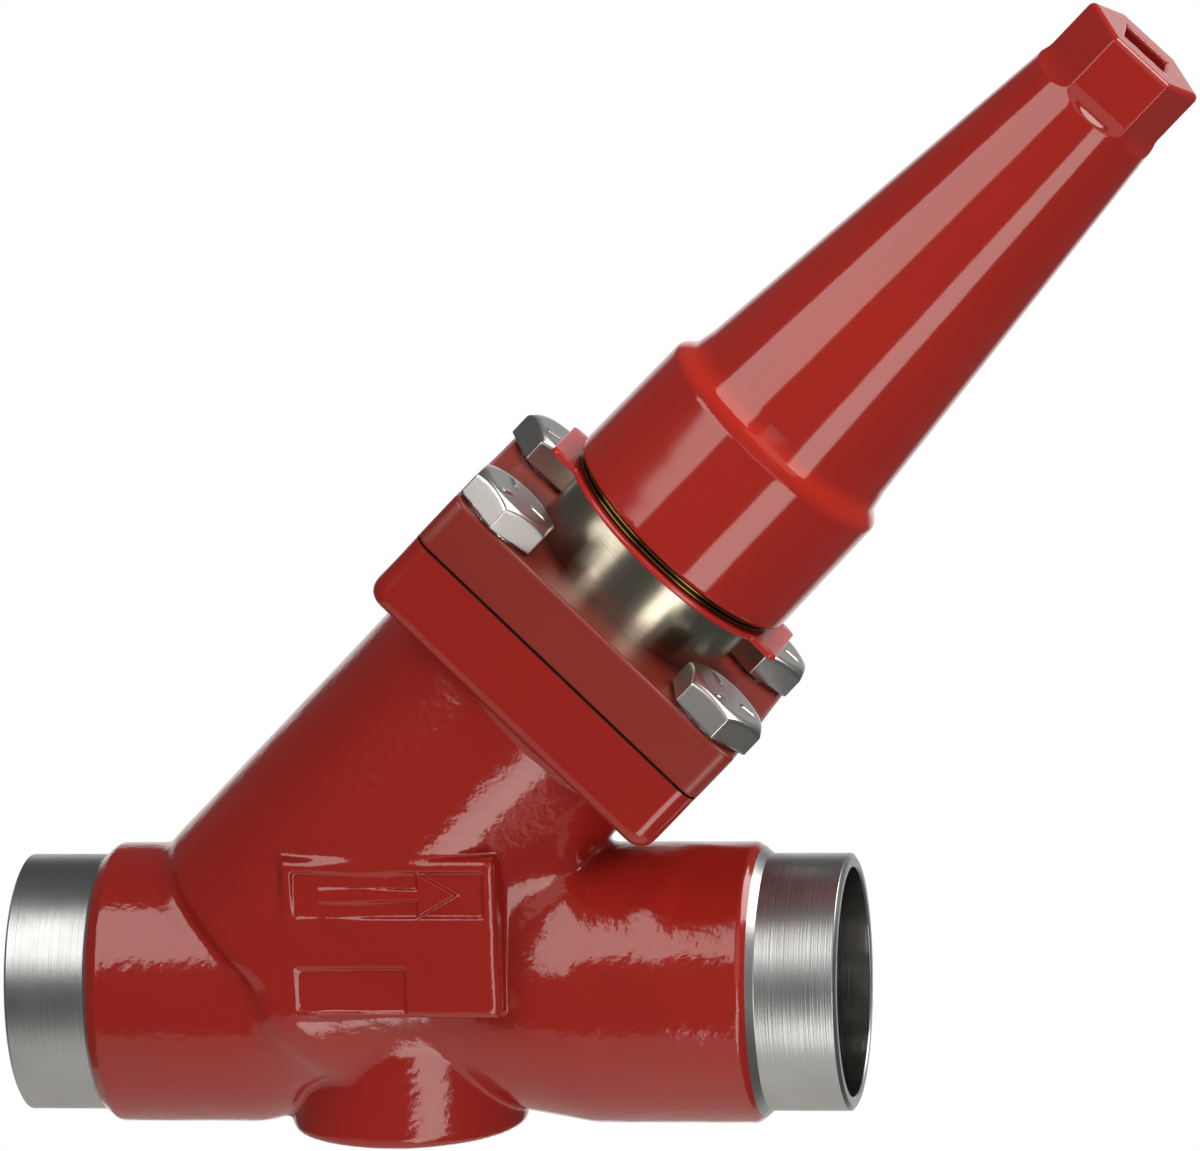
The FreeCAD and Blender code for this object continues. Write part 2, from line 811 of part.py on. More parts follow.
def make_cap():
    """Tapered protective cap with its hexagon, square socket and hollow inside."""
    side = spindle_square + cap_socket_clearance
    socket = Part.makeBox(side, side, cap_socket_depth,
                          Vector(-side / 2, -side / 2, cap_top - cap_socket_depth))
    socket.rotate(Vector(0, 0, 0), Vector(0, 0, 1), cap_hex_turn - 30)
    return lean(cap_outside().cut(cap_inside()).cut(socket))


PIECES = {
    "valve_body": make_valve_body,
    "bonnet": make_bonnet,
    "bonnet_gasket": make_bonnet_gasket,
    "bonnet_bolts": make_bonnet_bolts,
    "marking_ring": make_marking_ring,
    "packing_washer": make_packing_washer,
    "packing_rings": make_packing_rings,
    "packing_gland": make_packing_gland,
    "gland_o_ring": make_gland_o_ring,
    "spindle_o_ring": make_spindle_o_ring,
    "stem_wiper": make_stem_wiper,
    "spindle": make_spindle,
    "cone": make_cone,
    "cone_seal_ring": make_cone_seal_ring,
    "seal_clamp_disc": make_seal_clamp_disc,
    "clamp_screw": make_clamp_screw,
    "cone_lock_ring": make_cone_lock_ring,
    "disc_springs": make_disc_springs,
    "thrust_washer": make_thrust_washer,
    "cap_gasket": make_cap_gasket,
    "cap": make_cap,
}

os.makedirs("parts", exist_ok=True)
for name, make in PIECES.items():
    shape = make()
    valid = shape.isValid()
    print(name, len(shape.Solids), "valid" if valid else "NOT VALID", round(shape.Volume, 1))
    shape.exportStep("parts/" + name + ".step")
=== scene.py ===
import logging
import math
from collections.abc import Callable
from dataclasses import dataclass
from enum import Enum

import bmesh
import bpy
import numpy as np
from mathutils import Matrix, Vector


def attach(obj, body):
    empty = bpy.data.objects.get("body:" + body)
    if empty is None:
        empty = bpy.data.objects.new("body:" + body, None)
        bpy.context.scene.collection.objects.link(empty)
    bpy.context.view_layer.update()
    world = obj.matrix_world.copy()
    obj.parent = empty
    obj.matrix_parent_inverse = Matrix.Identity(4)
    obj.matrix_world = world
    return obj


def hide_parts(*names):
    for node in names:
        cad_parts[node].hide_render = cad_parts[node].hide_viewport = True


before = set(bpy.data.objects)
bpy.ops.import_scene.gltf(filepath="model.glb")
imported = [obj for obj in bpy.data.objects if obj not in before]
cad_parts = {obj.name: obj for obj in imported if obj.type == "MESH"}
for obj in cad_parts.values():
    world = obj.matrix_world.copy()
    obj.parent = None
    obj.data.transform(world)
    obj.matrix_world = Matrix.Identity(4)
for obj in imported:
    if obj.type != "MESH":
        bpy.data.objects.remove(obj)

log = logging.getLogger("valve")

Array = np.ndarray
Formula = Callable[[Array], Array]
Point = tuple[float, ...] | Array

# Every size below is in millimetres, and a mesh is written in metres.
METRES = 0.001
# A pattern's scale is this over the size of one wave, because a material reads metres.
PER_METRE = 1000.0
TURN = 2 * math.pi


# Places and surfaces


@dataclass(frozen=True)
class BonnetAxis:
    """The leaning axis of neck, bonnet, spindle and cap.

    Upright coordinates are (v, y, u): u runs along the axis from the pipe's axis, and v lies across it in
    the plane of the valve.
    """

    station: float = 43.0
    lean: float = math.radians(45.0)

    def upright(self, points: Array) -> Array:
        """Turns row points into upright ones: v = x cos - z sin, u = x sin + z cos, from the axis' foot.

        Args:
            points: Rows of (x, y, z).

        Returns:
            Rows of (v, y, u).
        """
        x, y, z = points[:, 0] - self.station, points[:, 1], points[:, 2]
        sine, cosine = math.sin(self.lean), math.cos(self.lean)
        return np.stack([x * cosine - z * sine, y, x * sine + z * cosine], 1)

    def placed(self, points: Array) -> Array:
        """Turns upright points back into row points."""
        return self.turned(points) + np.array([self.station, 0.0, 0.0])

    def turned(self, directions: Array) -> Array:
        """Turns upright directions into row directions: x = v cos + u sin, z = u cos - v sin.

        Args:
            directions: Rows of (v, y, u).

        Returns:
            Rows of (x, y, z).
        """
        v, y, u = directions[:, 0], directions[:, 1], directions[:, 2]
        sine, cosine = math.sin(self.lean), math.cos(self.lean)
        return np.stack([v * cosine + u * sine, y, -v * sine + u * cosine], 1)

    def point(self, height: float) -> Array:
        """The axis' point at a height."""
        return self.placed(np.array([[0.0, 0.0, height]]))[0]

    def way(self) -> Array:
        """The axis' direction."""
        return self.turned(np.array([[0.0, 0.0, 1.0]]))[0]

    def box(self, reach: float, bottom: float, top: float, depth: float) -> tuple[Point, Point]:
        """Level box that holds an upright one.

        Args:
            reach: How far the upright box goes to each side of the axis.
            bottom: Its lowest height.
            top: Its highest height.
            depth: Half of its size along y.

        Returns:
            Lowest and highest corner of the level box.
        """
        corners = self.placed(np.array([[side, 0.0, height] for side in (-reach, reach)
                                        for height in (bottom, top)]))
        low, high = corners.min(0), corners.max(0)
        return (low[0], -depth, low[2]), (high[0], depth, high[2])


AXIS = BonnetAxis()


def soft_min(one: Array, other: Array, blend: float | Array) -> Array:
    """Lower of two distances, with the corner between them filled.

    The filling is h squared times blend / 4, where h falls from 1 where they are equal to 0 where they
    differ by blend.

    Args:
        one: First distance.
        other: Second distance.
        blend: Width of the filling, about 1.17 times the radius of the fillet that it makes.

    Returns:
        The blended distance.
    """
    share = np.clip(1.0 - np.abs(one - other) / blend, 0.0, None)
    return np.minimum(one, other) - share * share * blend / 4


def soft_max(one: Array, other: Array, blend: float) -> Array:
    """Higher of two distances with a rounded corner: minus the soft_min of their negatives."""
    return -soft_min(-one, -other, blend)


def smooth_step(value: Array, start: float, end: float) -> Array:
    """0 before start, 1 after end, and 3t^2 - 2t^3 between them."""
    share = np.clip((value - start) / (end - start), 0.0, 1.0)
    return share * share * (3 - 2 * share)


def folded(angle: Array, sides: int) -> Array:
    """Angle from the middle of the nearest of some equal sectors: (a + w / 2) mod w, less w / 2."""
    width = TURN / sides
    return (angle + width / 2) % width - width / 2


def thread_wave(height: Array, angle: Array, pitch: float) -> Array:
    """Triangle wave of a screw thread, from 0 to 1, whose phase is height / pitch less angle / full turn."""
    phase = (height / pitch - angle / TURN) % 1.0
    return 1 - 2 * np.abs(phase - 0.5)


def rounded_square(v: Array, y: Array, half: float, corner: float) -> Array:
    """Distance to a square with round corners: that to a smaller square, less the corner's radius.

    Args:
        v: First coordinate.
        y: Second coordinate.
        half: Half of the square's width.
        corner: Radius of its corners.

    Returns:
        The distance, negative inside.
    """
    across = np.abs(np.stack([v, y])) - (half - corner)
    return np.hypot(*np.maximum(across, 0.0)) + np.minimum(across.max(0), 0.0) - corner


def waviness(points: Array, size: float, height: float, seed: int) -> Array:
    """Uneven skin: the mean of sine waves of one length in many directions.

    Args:
        points: Places where it is read.
        size: Length of a wave.
        height: Half of its rise.
        seed: Picks the directions and phases.

    Returns:
        The rise at each place.
    """
    random = np.random.default_rng(seed)
    ways = random.normal(size=(9, 3))
    ways *= TURN / size / np.linalg.norm(ways, axis=1, keepdims=True)
    phases = random.uniform(0, TURN, 9)
    return np.sin(points @ ways.T + phases).sum(1) * height / 3


def rounded_profile(corners: list[tuple[float, ...]], steps: int = 9) -> Array:
    """Outline with rounded corners.

    A corner (along, out, radius) becomes the curve (1-t)^2 A + 2t(1-t) C + t^2 B, where C is the corner and
    A and B are the places where an arc of that radius would touch its sides. A corner with no radius stays.

    Args:
        corners: (along, out) or (along, out, radius) for each corner, in order.
        steps: Points on each rounded corner.

    Returns:
        The outline's points as rows of (along, out).
    """
    points = np.array([corner[:2] for corner in corners])
    t = np.linspace(0.0, 1.0, steps)[:, None]
    parts: list[Array] = []
    for index, corner in enumerate(corners):
        if len(corner) < 3:
            parts.append(points[index:index + 1])
            continue
        before = points[index - 1] - points[index]
        after = points[(index + 1) % len(corners)] - points[index]
        before, after = before / np.linalg.norm(before), after / np.linalg.norm(after)
        half = math.acos(float(np.clip(before @ after, -1.0, 1.0))) / 2
        reach = corner[2] / math.tan(half)
        start, end = points[index] + before * reach, points[index] + after * reach
        parts.append((1 - t) ** 2 * start + 2 * t * (1 - t) * points[index] + t ** 2 * end)
    return np.concatenate(parts)


def slope_of(formula: Formula, points: Array, reach: float = 0.02) -> Array:
    """Gradient of a distance formula, by differences over a short reach on each axis.

    Args:
        formula: Distance to a surface.
        points: Places where it is read.
        reach: Half of the difference's step.

    Returns:
        The gradient at each place.
    """
    columns = []
    for step in np.eye(3) * reach:
        columns.append((formula(points + step) - formula(points - step)) / (2 * reach))
    return np.stack(columns, 1)


def unit_slope(formula: Formula, points: Array) -> Array:
    """Direction of a formula's gradient: the gradient over its own length."""
    slope = slope_of(formula, points)
    return slope / np.maximum(np.linalg.norm(slope, axis=1, keepdims=True), 1e-9)


def settled(formula: Formula, points: Array, rounds: int = 4, least: float = 0.2) -> Array:
    """Moves points onto the zero surface: p - f g / g.g in each round, where g is f's gradient.

    Args:
        formula: Distance to the surface.
        points: Points near it.
        rounds: How often they are moved.
        least: Lowest g.g that is used, so that no point is thrown far off.

    Returns:
        The moved points.
    """
    for _ in range(rounds):
        slope = slope_of(formula, points)
        weight = formula(points) / np.maximum((slope * slope).sum(1), least)
        points = points - weight[:, None] * slope
    return points


def net_surface(formula: Formula, low: Point, high: Point, cell: float) -> tuple[Array, Array]:
    """Net over the zero surface of a distance formula, which is negative inside.

    The formula is read on a grid. Each grid cell that the surface crosses gets one vertex, at the mean of
    the places where the surface crosses the cell's edges, and each crossed grid edge gets one quad through
    the four cells round it. The vertices are then moved onto the surface itself.

    Args:
        formula: Distance to the surface for rows of points.
        low: Lowest corner of the grid.
        high: Highest corner of the grid.
        cell: Side of a grid cell.

    Returns:
        Vertices and quads, the quads facing outwards.
    """
    lines = [np.arange(start, end + cell, cell) for start, end in zip(low, high)]
    grid = np.stack(np.meshgrid(*lines, indexing="ij"), -1)
    value = formula(grid.reshape(-1, 3)).reshape(grid.shape[:3])
    cells = tuple(size - 1 for size in value.shape)
    total = np.zeros((*cells, 3))
    count = np.zeros(cells)
    for axis in range(3):
        for second in (0, 1):
            for third in (0, 1):
                start = [0, 0, 0]
                start[(axis + 1) % 3], start[(axis + 2) % 3] = second, third
                end = list(start)
                end[axis] = 1
                first = value[tuple(slice(s, s + n) for s, n in zip(start, cells))]
                last = value[tuple(slice(s, s + n) for s, n in zip(end, cells))]
                crossed = (first < 0) != (last < 0)
                total[..., axis] += np.where(crossed, first / np.where(crossed, first - last, 1.0), 0.0)
                total[..., (axis + 1) % 3] += second * crossed
                total[..., (axis + 2) % 3] += third * crossed
                count += crossed
    active = count > 0
    number = np.full(cells, -1)
    number[active] = np.arange(int(active.sum()))
    vertices = np.array(low) + (np.argwhere(active) + total[active] / count[active][:, None]) * cell
    inside = value < 0
    limits = np.array(cells)
    quads = []
    for axis in range(3):
        one = np.moveaxis(inside, axis, 0)
        edges = np.argwhere(one[:-1] != one[1:])
        starts_inside = one[:-1][tuple(edges.T)]
        rest = [other for other in range(3) if other != axis]
        places = np.empty_like(edges)
        places[:, [axis, *rest]] = edges
        held = (places[:, rest] > 0).all(1) & (places[:, rest] < limits[rest]).all(1)
        places, starts_inside = places[held], starts_inside[held]
        around = []
        for back_second, back_third in ((1, 1), (0, 1), (0, 0), (1, 0)):
            near = places.copy()
            near[:, (axis + 1) % 3] -= back_second
            near[:, (axis + 2) % 3] -= back_third
            around.append(number[tuple(near.T)])
        quad = np.stack(around, 1)
        quads.append(np.where(starts_inside[:, None], quad, quad[:, ::-1]))
    return settled(formula, vertices), np.concatenate(quads)


def ring_quads(rows: int, around: int, closed: bool = True) -> Array:
    """Quads of a grid of points whose rows are rings.

    Args:
        rows: Rings in the grid.
        around: Points on each ring.
        closed: Whether the last ring joins the first.

    Returns:
        Rows of four vertex numbers.
    """
    row, column = np.meshgrid(np.arange(rows if closed else rows - 1), np.arange(around), indexing="ij")
    next_row, next_column = (row + 1) % rows, (column + 1) % around
    return np.stack([row * around + column, row * around + next_column,
                     next_row * around + next_column, next_row * around + column], -1).reshape(-1, 4)


def carried_round(profile: Array, around: int, ripple: Callable[[Array, Array], Array] | None = None,
                  closed: bool = True) -> tuple[Array, Array]:
    """Surface of a profile carried round the upright axis: (r cos a, r sin a, h).

    Args:
        profile: Rows of (height h, radius r).
        around: Steps in a full turn.
        ripple: Change of radius as a function of height and angle, if any.
        closed: Whether the profile's end joins its start.

    Returns:
        Upright vertices and quads.
    """
    angle = np.repeat((np.arange(around) * TURN / around)[None, :], len(profile), 0)
    height = np.repeat(profile[:, :1], around, 1)
    radius = np.repeat(profile[:, 1:2], around, 1)
    if ripple is not None:
        radius = radius + ripple(height, angle)
    vertices = np.stack([radius * np.cos(angle), radius * np.sin(angle), height], -1).reshape(-1, 3)
    return vertices, ring_quads(len(profile), around, closed)


def facing_out(vertices: Array, quads: Array) -> Array:
    """Turns the quads of a closed surface outwards: the sum of a . (b x c + c x d), its volume, is positive.

    Args:
        vertices: Rows of points.
        quads: Rows of four vertex numbers.

    Returns:
        The quads, turned round where they faced inwards.
    """
    a, b, c, d = (vertices[quads[:, index]] for index in range(4))
    volume = np.einsum("ij,ij->i", a, np.cross(b, c) + np.cross(c, d)).sum()
    return quads if volume > 0 else quads[:, ::-1]


def along_x(points: Array, start: float, way: int) -> Array:
    """Lays upright points on the pipe's axis: x is start plus way times the height."""
    return np.stack([start + way * points[:, 2], points[:, 1], points[:, 0]], 1)


# Meshes


@dataclass(frozen=True)
class Cut:
    """A plane that trims a piece: what lies on the side its normal points to is cleared."""

    place: Point
    normal: Point


def slice_mesh(work: bmesh.types.BMesh, cut: Cut, clear: bool) -> None:
    """Cuts a mesh along a plane.

    Args:
        work: The mesh.
        cut: The plane.
        clear: Whether the side that the normal points to is cleared.
    """
    bmesh.ops.bisect_plane(work, geom=work.verts[:] + work.edges[:] + work.faces[:], dist=1e-6,
                           plane_co=Vector(cut.place) * METRES, plane_no=Vector(cut.normal),
                           clear_outer=clear)


def mesh_from(name: str, vertices: Array, faces: Array, cuts: tuple[Cut, ...] = ()) -> bpy.types.Mesh:
    """Writes millimetre arrays into a mesh in metres and trims it.

    Args:
        name: Name of the mesh.
        vertices: Rows of points.
        faces: Rows of vertex numbers.
        cuts: Planes that trim it.

    Returns:
        The mesh, with smooth faces.
    """
    mesh = bpy.data.meshes.new(name)
    mesh.from_pydata((vertices * METRES).tolist(), [], faces.tolist())
    if cuts:
        work = bmesh.new()
        work.from_mesh(mesh)
        for cut in cuts:
            slice_mesh(work, cut, clear=True)
        work.to_mesh(mesh)
        work.free()
    mesh.polygons.foreach_set("use_smooth", np.ones(len(mesh.polygons), bool))
    return mesh


def places_of(mesh: bpy.types.Mesh) -> Array:
    """The mesh's vertices in millimetres.

    Args:
        mesh: The mesh.

    Returns:
        Rows of (x, y, z).
    """
    flat = np.empty(len(mesh.vertices) * 3)
    mesh.vertices.foreach_get("co", flat)
    return flat.reshape(-1, 3) / METRES


def shade_by_formula(mesh: bpy.types.Mesh, formula: Formula) -> None:
    """Gives each vertex the direction of the surface's own formula as its normal."""
    mesh.normals_split_custom_set_from_vertices(unit_slope(formula, places_of(mesh)).tolist())


def netted_mesh(name: str, formula: Formula, box: tuple[Point, Point], cell: float,
                cuts: tuple[Cut, ...] = ()) -> bpy.types.Mesh:
    """Mesh over the zero surface of a distance formula, shaded by that formula.

    Args:
        name: Name of the mesh.
        formula: Distance to the surface.
        box: Lowest and highest corner of the net's grid.
        cell: Side of a grid cell.
        cuts: Planes that trim it.

    Returns:
        The mesh.
    """
    mesh = mesh_from(name, *net_surface(formula, *box, cell), cuts)
    shade_by_formula(mesh, formula)
    return mesh


def turned_mesh(name: str, vertices: Array, quads: Array, crease: float) -> bpy.types.Mesh:
    """Mesh of a closed surface, facing outwards, with crisp edges.

    Args:
        name: Name of the mesh.
        vertices: Rows of points.
        quads: Rows of four vertex numbers.
        crease: Angle in degrees past which an edge is crisp.

    Returns:
        The mesh.
    """
    mesh = mesh_from(name, vertices, facing_out(vertices, quads))
    mesh.set_sharp_from_angle(angle=math.radians(crease))
    return mesh


def node_surface(node: str) -> tuple[Array, Array]:
    """Merged surface of a CAD node.

    Args:
        node: Name of the node.

    Returns:
        Vertices in millimetres, and triangles.
    """
    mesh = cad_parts[node].data
    mesh.calc_loop_triangles()
    corners = np.empty(len(mesh.loop_triangles) * 3, np.int64)
    mesh.loop_triangles.foreach_get("vertices", corners)
    points = places_of(mesh)
    _, first, merged = np.unique(np.round(points, 4), axis=0, return_index=True, return_inverse=True)
    triangles = merged.reshape(-1)[corners].reshape(-1, 3)
    whole = (triangles != np.roll(triangles, 1, 1)).all(1)
    return points[first], triangles[whole]


def kept_faces(name: str, node: str, keep: Callable[[Array], Array], crease: float = 28.0) -> bpy.types.Mesh:
    """Copy of the CAD faces that a test keeps, with crisp edges.

    Args:
        name: Name of the new mesh.
        node: CAD node that is copied.
        keep: Says for faces, given as rows of three corners, which are kept.
        crease: Angle in degrees past which an edge is crisp.

    Returns:
        The new mesh.
    """
    vertices, triangles = node_surface(node)
    triangles = triangles[keep(vertices[triangles])]
    used, numbers = np.unique(triangles, return_inverse=True)
    mesh = mesh_from(name, vertices[used], numbers.reshape(-1, 3))
    mesh.set_sharp_from_angle(angle=math.radians(crease))
    return mesh


# Finishes


def linear(code: str, share: float = 1.0) -> tuple[float, float, float, float]:
    """Linear colour of an sRGB hex value: c / 12.92, or ((c + 0.055) / 1.055) to the power 2.4.

    Args:
        code: The hex value.
        share: What the linear colour is multiplied by, less than 1 for a darker one.

    Returns:
        Red, green, blue and 1.
    """
    parts = [int(code[index:index + 2], 16) / 255 for index in (1, 3, 5)]
    red, green, blue = (c / 12.92 if c <= 0.04045 else ((c + 0.055) / 1.055) ** 2.4 for c in parts)
    return red * share, green * share, blue * share, 1.0


def add_node(tree: bpy.types.NodeTree, kind: str, inputs: dict[str | int, object] | None = None,
             **settings: object) -> bpy.types.Node:
    """Adds a node to a material.

    Args:
        tree: Node tree that it goes into.
        kind: Blender's name of the node.
        inputs: For each input, a constant or the output socket that feeds it.
        settings: The node's own properties.

    Returns:
        The new node.
    """
    node = tree.nodes.new(kind)
    for name, value in settings.items():
        setattr(node, name, value)
    for name, value in (inputs or {}).items():
        if isinstance(value, bpy.types.NodeSocket):
            tree.links.new(value, node.inputs[name])
        else:
            node.inputs[name].default_value = value
    return node


@dataclass(frozen=True)
class Finish:
    """What all finishes have: a name, a colour and how smooth and how metallic they are."""

    name: str
    colour: str
    roughness: float
    metallic: float = 0.0

    def build(self) -> bpy.types.Material:
        """Makes the material.

        Returns:
            The new material.
        """
        material = bpy.data.materials.new(self.name)
        material.use_nodes = True
        tree = material.node_tree
        shader = tree.nodes["Principled BSDF"]
        shader.inputs["Base Color"].default_value = linear(self.colour)
        shader.inputs["Roughness"].default_value = self.roughness
        shader.inputs["Metallic"].default_value = self.metallic
        self.dress(tree, shader)
        return material

    def dress(self, tree: bpy.types.NodeTree, shader: bpy.types.Node) -> None:
        """Adds the pattern of the surface. A plain finish has none."""

    @staticmethod
    def place(tree: bpy.types.NodeTree, turn: float = 0.0,
              stretch: tuple[float, float, float] = (1.0, 1.0, 1.0)) -> bpy.types.NodeSocket:
        """Object coordinates from the leaning axis' foot, turned about Y and then stretched.

        Args:
            tree: Node tree of the material.
            turn: Turn about Y. With the lean as the turn, Z runs along the leaning axis.
            stretch: Factors on the turned axes.

        Returns:
            The coordinates.
        """
        source = add_node(tree, "ShaderNodeTexCoord")
        foot = (-AXIS.station * math.cos(turn) * METRES, 0.0, -AXIS.station * math.sin(turn) * METRES)
        turned = add_node(tree, "ShaderNodeMapping", {
            "Vector": source.outputs["Object"], "Location": foot, "Rotation": (0.0, -turn, 0.0)})
        stretched = add_node(tree, "ShaderNodeMapping", {
            "Vector": turned.outputs["Vector"], "Scale": stretch})
        return stretched.outputs["Vector"]

    @classmethod
    def axis_height(cls, tree: bpy.types.NodeTree) -> bpy.types.NodeSocket:
        """Height on the leaning axis, in metres."""
        return add_node(tree, "ShaderNodeSeparateXYZ", {"Vector": cls.place(tree, AXIS.lean)}).outputs["Z"]

    @staticmethod
    def relief(tree: bpy.types.NodeTree, pattern: dict[str | int, object], height: float,
               under: bpy.types.NodeSocket | None = None, share: bpy.types.NodeSocket | None = None
               ) -> tuple[bpy.types.NodeSocket, bpy.types.NodeSocket]:
        """Raises the surface by a noise pattern.

        Args:
            tree: Node tree of the material.
            pattern: The pattern's place, scale, detail and roughness.
            height: Its rise.
            under: Normal of the surface that it is raised on, if that has a pattern too.
            share: Where the pattern holds, from 0 to 1, if not everywhere.

        Returns:
            The raised normal, and the pattern itself.
        """
        noise = add_node(tree, "ShaderNodeTexNoise", pattern)
        rise = noise.outputs["Fac"]
        if share is not None:
            rise = add_node(tree, "ShaderNodeMath", {0: rise, 1: share}, operation="MULTIPLY").outputs[0]
        bump = add_node(tree, "ShaderNodeBump", {
            "Height": rise, "Strength": 1.0, "Distance": height * METRES})
        if under is not None:
            tree.links.new(under, bump.inputs["Normal"])
        return bump.outputs["Normal"], noise.outputs["Fac"]


@dataclass(frozen=True)
class Enamel(Finish):
    """Glossy alkyd enamel sprayed on metal.

    It pulls into a smooth film with slow waves, and over a sand-cast skin the grain below shows through as
    small dimples that break the edge of every reflection. Between two heights on the leaning axis a brighter,
    more orange colour is painted: painted light, where the lamp above falls on the cap's ridge.
    """

    ior: float = 1.56
    wave_size: float = 6.0
    wave_height: float = 0.02
    grain_size: float = 1.6
    grain_height: float = 0.0
    grain_top: float = 0.0
    grain_fade: float = 2.0
    tone_size: float = 28.0
    tone_share: float = 0.86
    # A band of painted light: between two heights on the axis the colour is mixed towards a brighter orange,
    # where light falls on the ridge's shoulder.
    painted_light_colour: str = "#C62F20"
    painted_light_from: float = 0.0
    painted_light_to: float = 0.0

    def dress(self, tree: bpy.types.NodeTree, shader: bpy.types.Node) -> None:
        """Adds the film's waves, the grain, an uneven tone and a band of painted light, brighter and more
        orange, between two heights on the axis.

        Args:
            tree: Node tree of the material.
            shader: Its shader.
        """
        place = self.place(tree)
        shader.inputs["IOR"].default_value = self.ior
        normal, _ = self.relief(tree, {"Vector": place, "Scale": PER_METRE / self.wave_size, "Detail": 1.0,
                                       "Roughness": 0.4}, self.wave_height)
        if self.grain_height > 0:
            below = add_node(tree, "ShaderNodeMapRange", {
                "Value": self.axis_height(tree), "From Min": (self.grain_top + self.grain_fade) * METRES,
                "From Max": (self.grain_top - self.grain_fade) * METRES})
            normal, _ = self.relief(tree, {"Vector": place, "Scale": PER_METRE / self.grain_size,
                                           "Detail": 2.0, "Roughness": 0.5},
                                    self.grain_height, normal, below.outputs[0])
        tree.links.new(normal, shader.inputs["Normal"])
        tone = add_node(tree, "ShaderNodeTexNoise", {
            "Vector": place, "Scale": PER_METRE / self.tone_size, "Detail": 3.0})
        shade = add_node(tree, "ShaderNodeMix", {
            0: tone.outputs["Fac"], 6: linear(self.colour), 7: linear(self.colour, self.tone_share)},
            data_type="RGBA")
        colour = shade.outputs[2]
        # Painted light: the colour is mixed towards a brighter, more orange one between the two heights.
        if self.painted_light_to > self.painted_light_from:
            middle = (self.painted_light_from + self.painted_light_to) / 2 * METRES
            away = add_node(tree, "ShaderNodeMath", {0: self.axis_height(tree), 1: middle},
                            operation="SUBTRACT")
            apart = add_node(tree, "ShaderNodeMath", {0: away.outputs[0]}, operation="ABSOLUTE")
            near = add_node(tree, "ShaderNodeMapRange", {
                "Value": apart.outputs[0], "From Min": (self.painted_light_to - self.painted_light_from) / 2 * METRES,
                "From Max": 0.0}, interpolation_type="SMOOTHSTEP")
            band = add_node(tree, "ShaderNodeMix", {
                0: near.outputs[0], 6: colour, 7: linear(self.painted_light_colour)}, data_type="RGBA")
            colour = band.outputs[2]
        tree.links.new(colour, shader.inputs["Base Color"])


@dataclass(frozen=True)
class TurnedSteel(Finish):
    """Bare steel from the lathe.

    The tool leaves fine rings round the axis, which draw a reflection out across them, and handling leaves
    faint cloudy marks. The real rings are finer than the picture can show, so they are drawn about 0.3 mm
    apart.
    """

    turn: float = 0.0
    ring_gap: float = 0.3
    ring_height: float = 0.03
    # Waves to a metre along a ring, which runs on for 83 mm.
    ring_along: float = 12.0
    stain: str = "#8E8C84"
    stain_size: float = 9.0

    def dress(self, tree: bpy.types.NodeTree, shader: bpy.types.Node) -> None:
        """Adds the rings, which vary only along the axis, and the clouds.

        Args:
            tree: Node tree of the material.
            shader: Its shader.
        """
        close, long = PER_METRE / self.ring_gap, self.ring_along
        stretch = (long, long, close) if self.turn else (close, long, long)
        normal, _ = self.relief(tree, {"Vector": self.place(tree, self.turn, stretch), "Scale": 1.0,
                                       "Detail": 3.0, "Roughness": 0.6}, self.ring_height)
        tree.links.new(normal, shader.inputs["Normal"])
        clouds = add_node(tree, "ShaderNodeTexNoise", {
            "Vector": self.place(tree), "Scale": PER_METRE / self.stain_size, "Detail": 4.0,
            "Roughness": 0.55})
        rough = add_node(tree, "ShaderNodeMapRange", {
            "Value": clouds.outputs["Fac"], "From Min": 0.3, "From Max": 0.7,
            "To Min": self.roughness * 0.93, "To Max": self.roughness * 1.1})
        tree.links.new(rough.outputs[0], shader.inputs["Roughness"])
        mix = add_node(tree, "ShaderNodeMix", {
            0: clouds.outputs["Fac"], 6: linear(self.colour), 7: linear(self.stain)}, data_type="RGBA")
        tree.links.new(mix.outputs[2], shader.inputs["Base Color"])


@dataclass(frozen=True)
class PlatedSteel(Finish):
    """Forged steel with bright zinc plate: shiny, with fine crossing scratches from the tumbling drum.

    The real scratches are finer than the picture can show, so they are drawn about 0.25 mm apart.
    """

    scratch_gap: float = 0.25
    # Waves to a metre along a scratch, which is about 11 mm long.
    scratch_along: float = 90.0
    scratch_height: float = 0.012
    scratch_turns: tuple[float, float] = (0.35, -0.9)

    def dress(self, tree: bpy.types.NodeTree, shader: bpy.types.Node) -> None:
        """Adds two crossing sets of scratches.

        Args:
            tree: Node tree of the material.
            shader: Its shader.
        """
        close = PER_METRE / self.scratch_gap
        normal = None
        for turn in self.scratch_turns:
            place = self.place(tree, turn, (close, close * 0.4, self.scratch_along))
            normal, _ = self.relief(tree, {"Vector": place, "Scale": 1.0, "Detail": 2.0, "Roughness": 0.7},
                                    self.scratch_height, normal)
        tree.links.new(normal, shader.inputs["Normal"])


@dataclass(frozen=True)
class PressedCompound(Finish):
    """Soft stuff that is pressed or moulded, with a fine grain: graphite, fibre sheet, rubber or plastic."""

    grain_size: float = 0.5
    grain_height: float = 0.01
    grain_share: float = 0.7

    def dress(self, tree: bpy.types.NodeTree, shader: bpy.types.Node) -> None:
        """Adds the grain and a tone that follows it.

        Args:
            tree: Node tree of the material.
            shader: Its shader.
        """
        normal, grain = self.relief(tree, {"Vector": self.place(tree), "Scale": PER_METRE / self.grain_size,
                                           "Detail": 4.0}, self.grain_height)
        tree.links.new(normal, shader.inputs["Normal"])
        mix = add_node(tree, "ShaderNodeMix", {
            0: grain, 6: linear(self.colour), 7: linear(self.colour, self.grain_share)}, data_type="RGBA")
        tree.links.new(mix.outputs[2], shader.inputs["Base Color"])


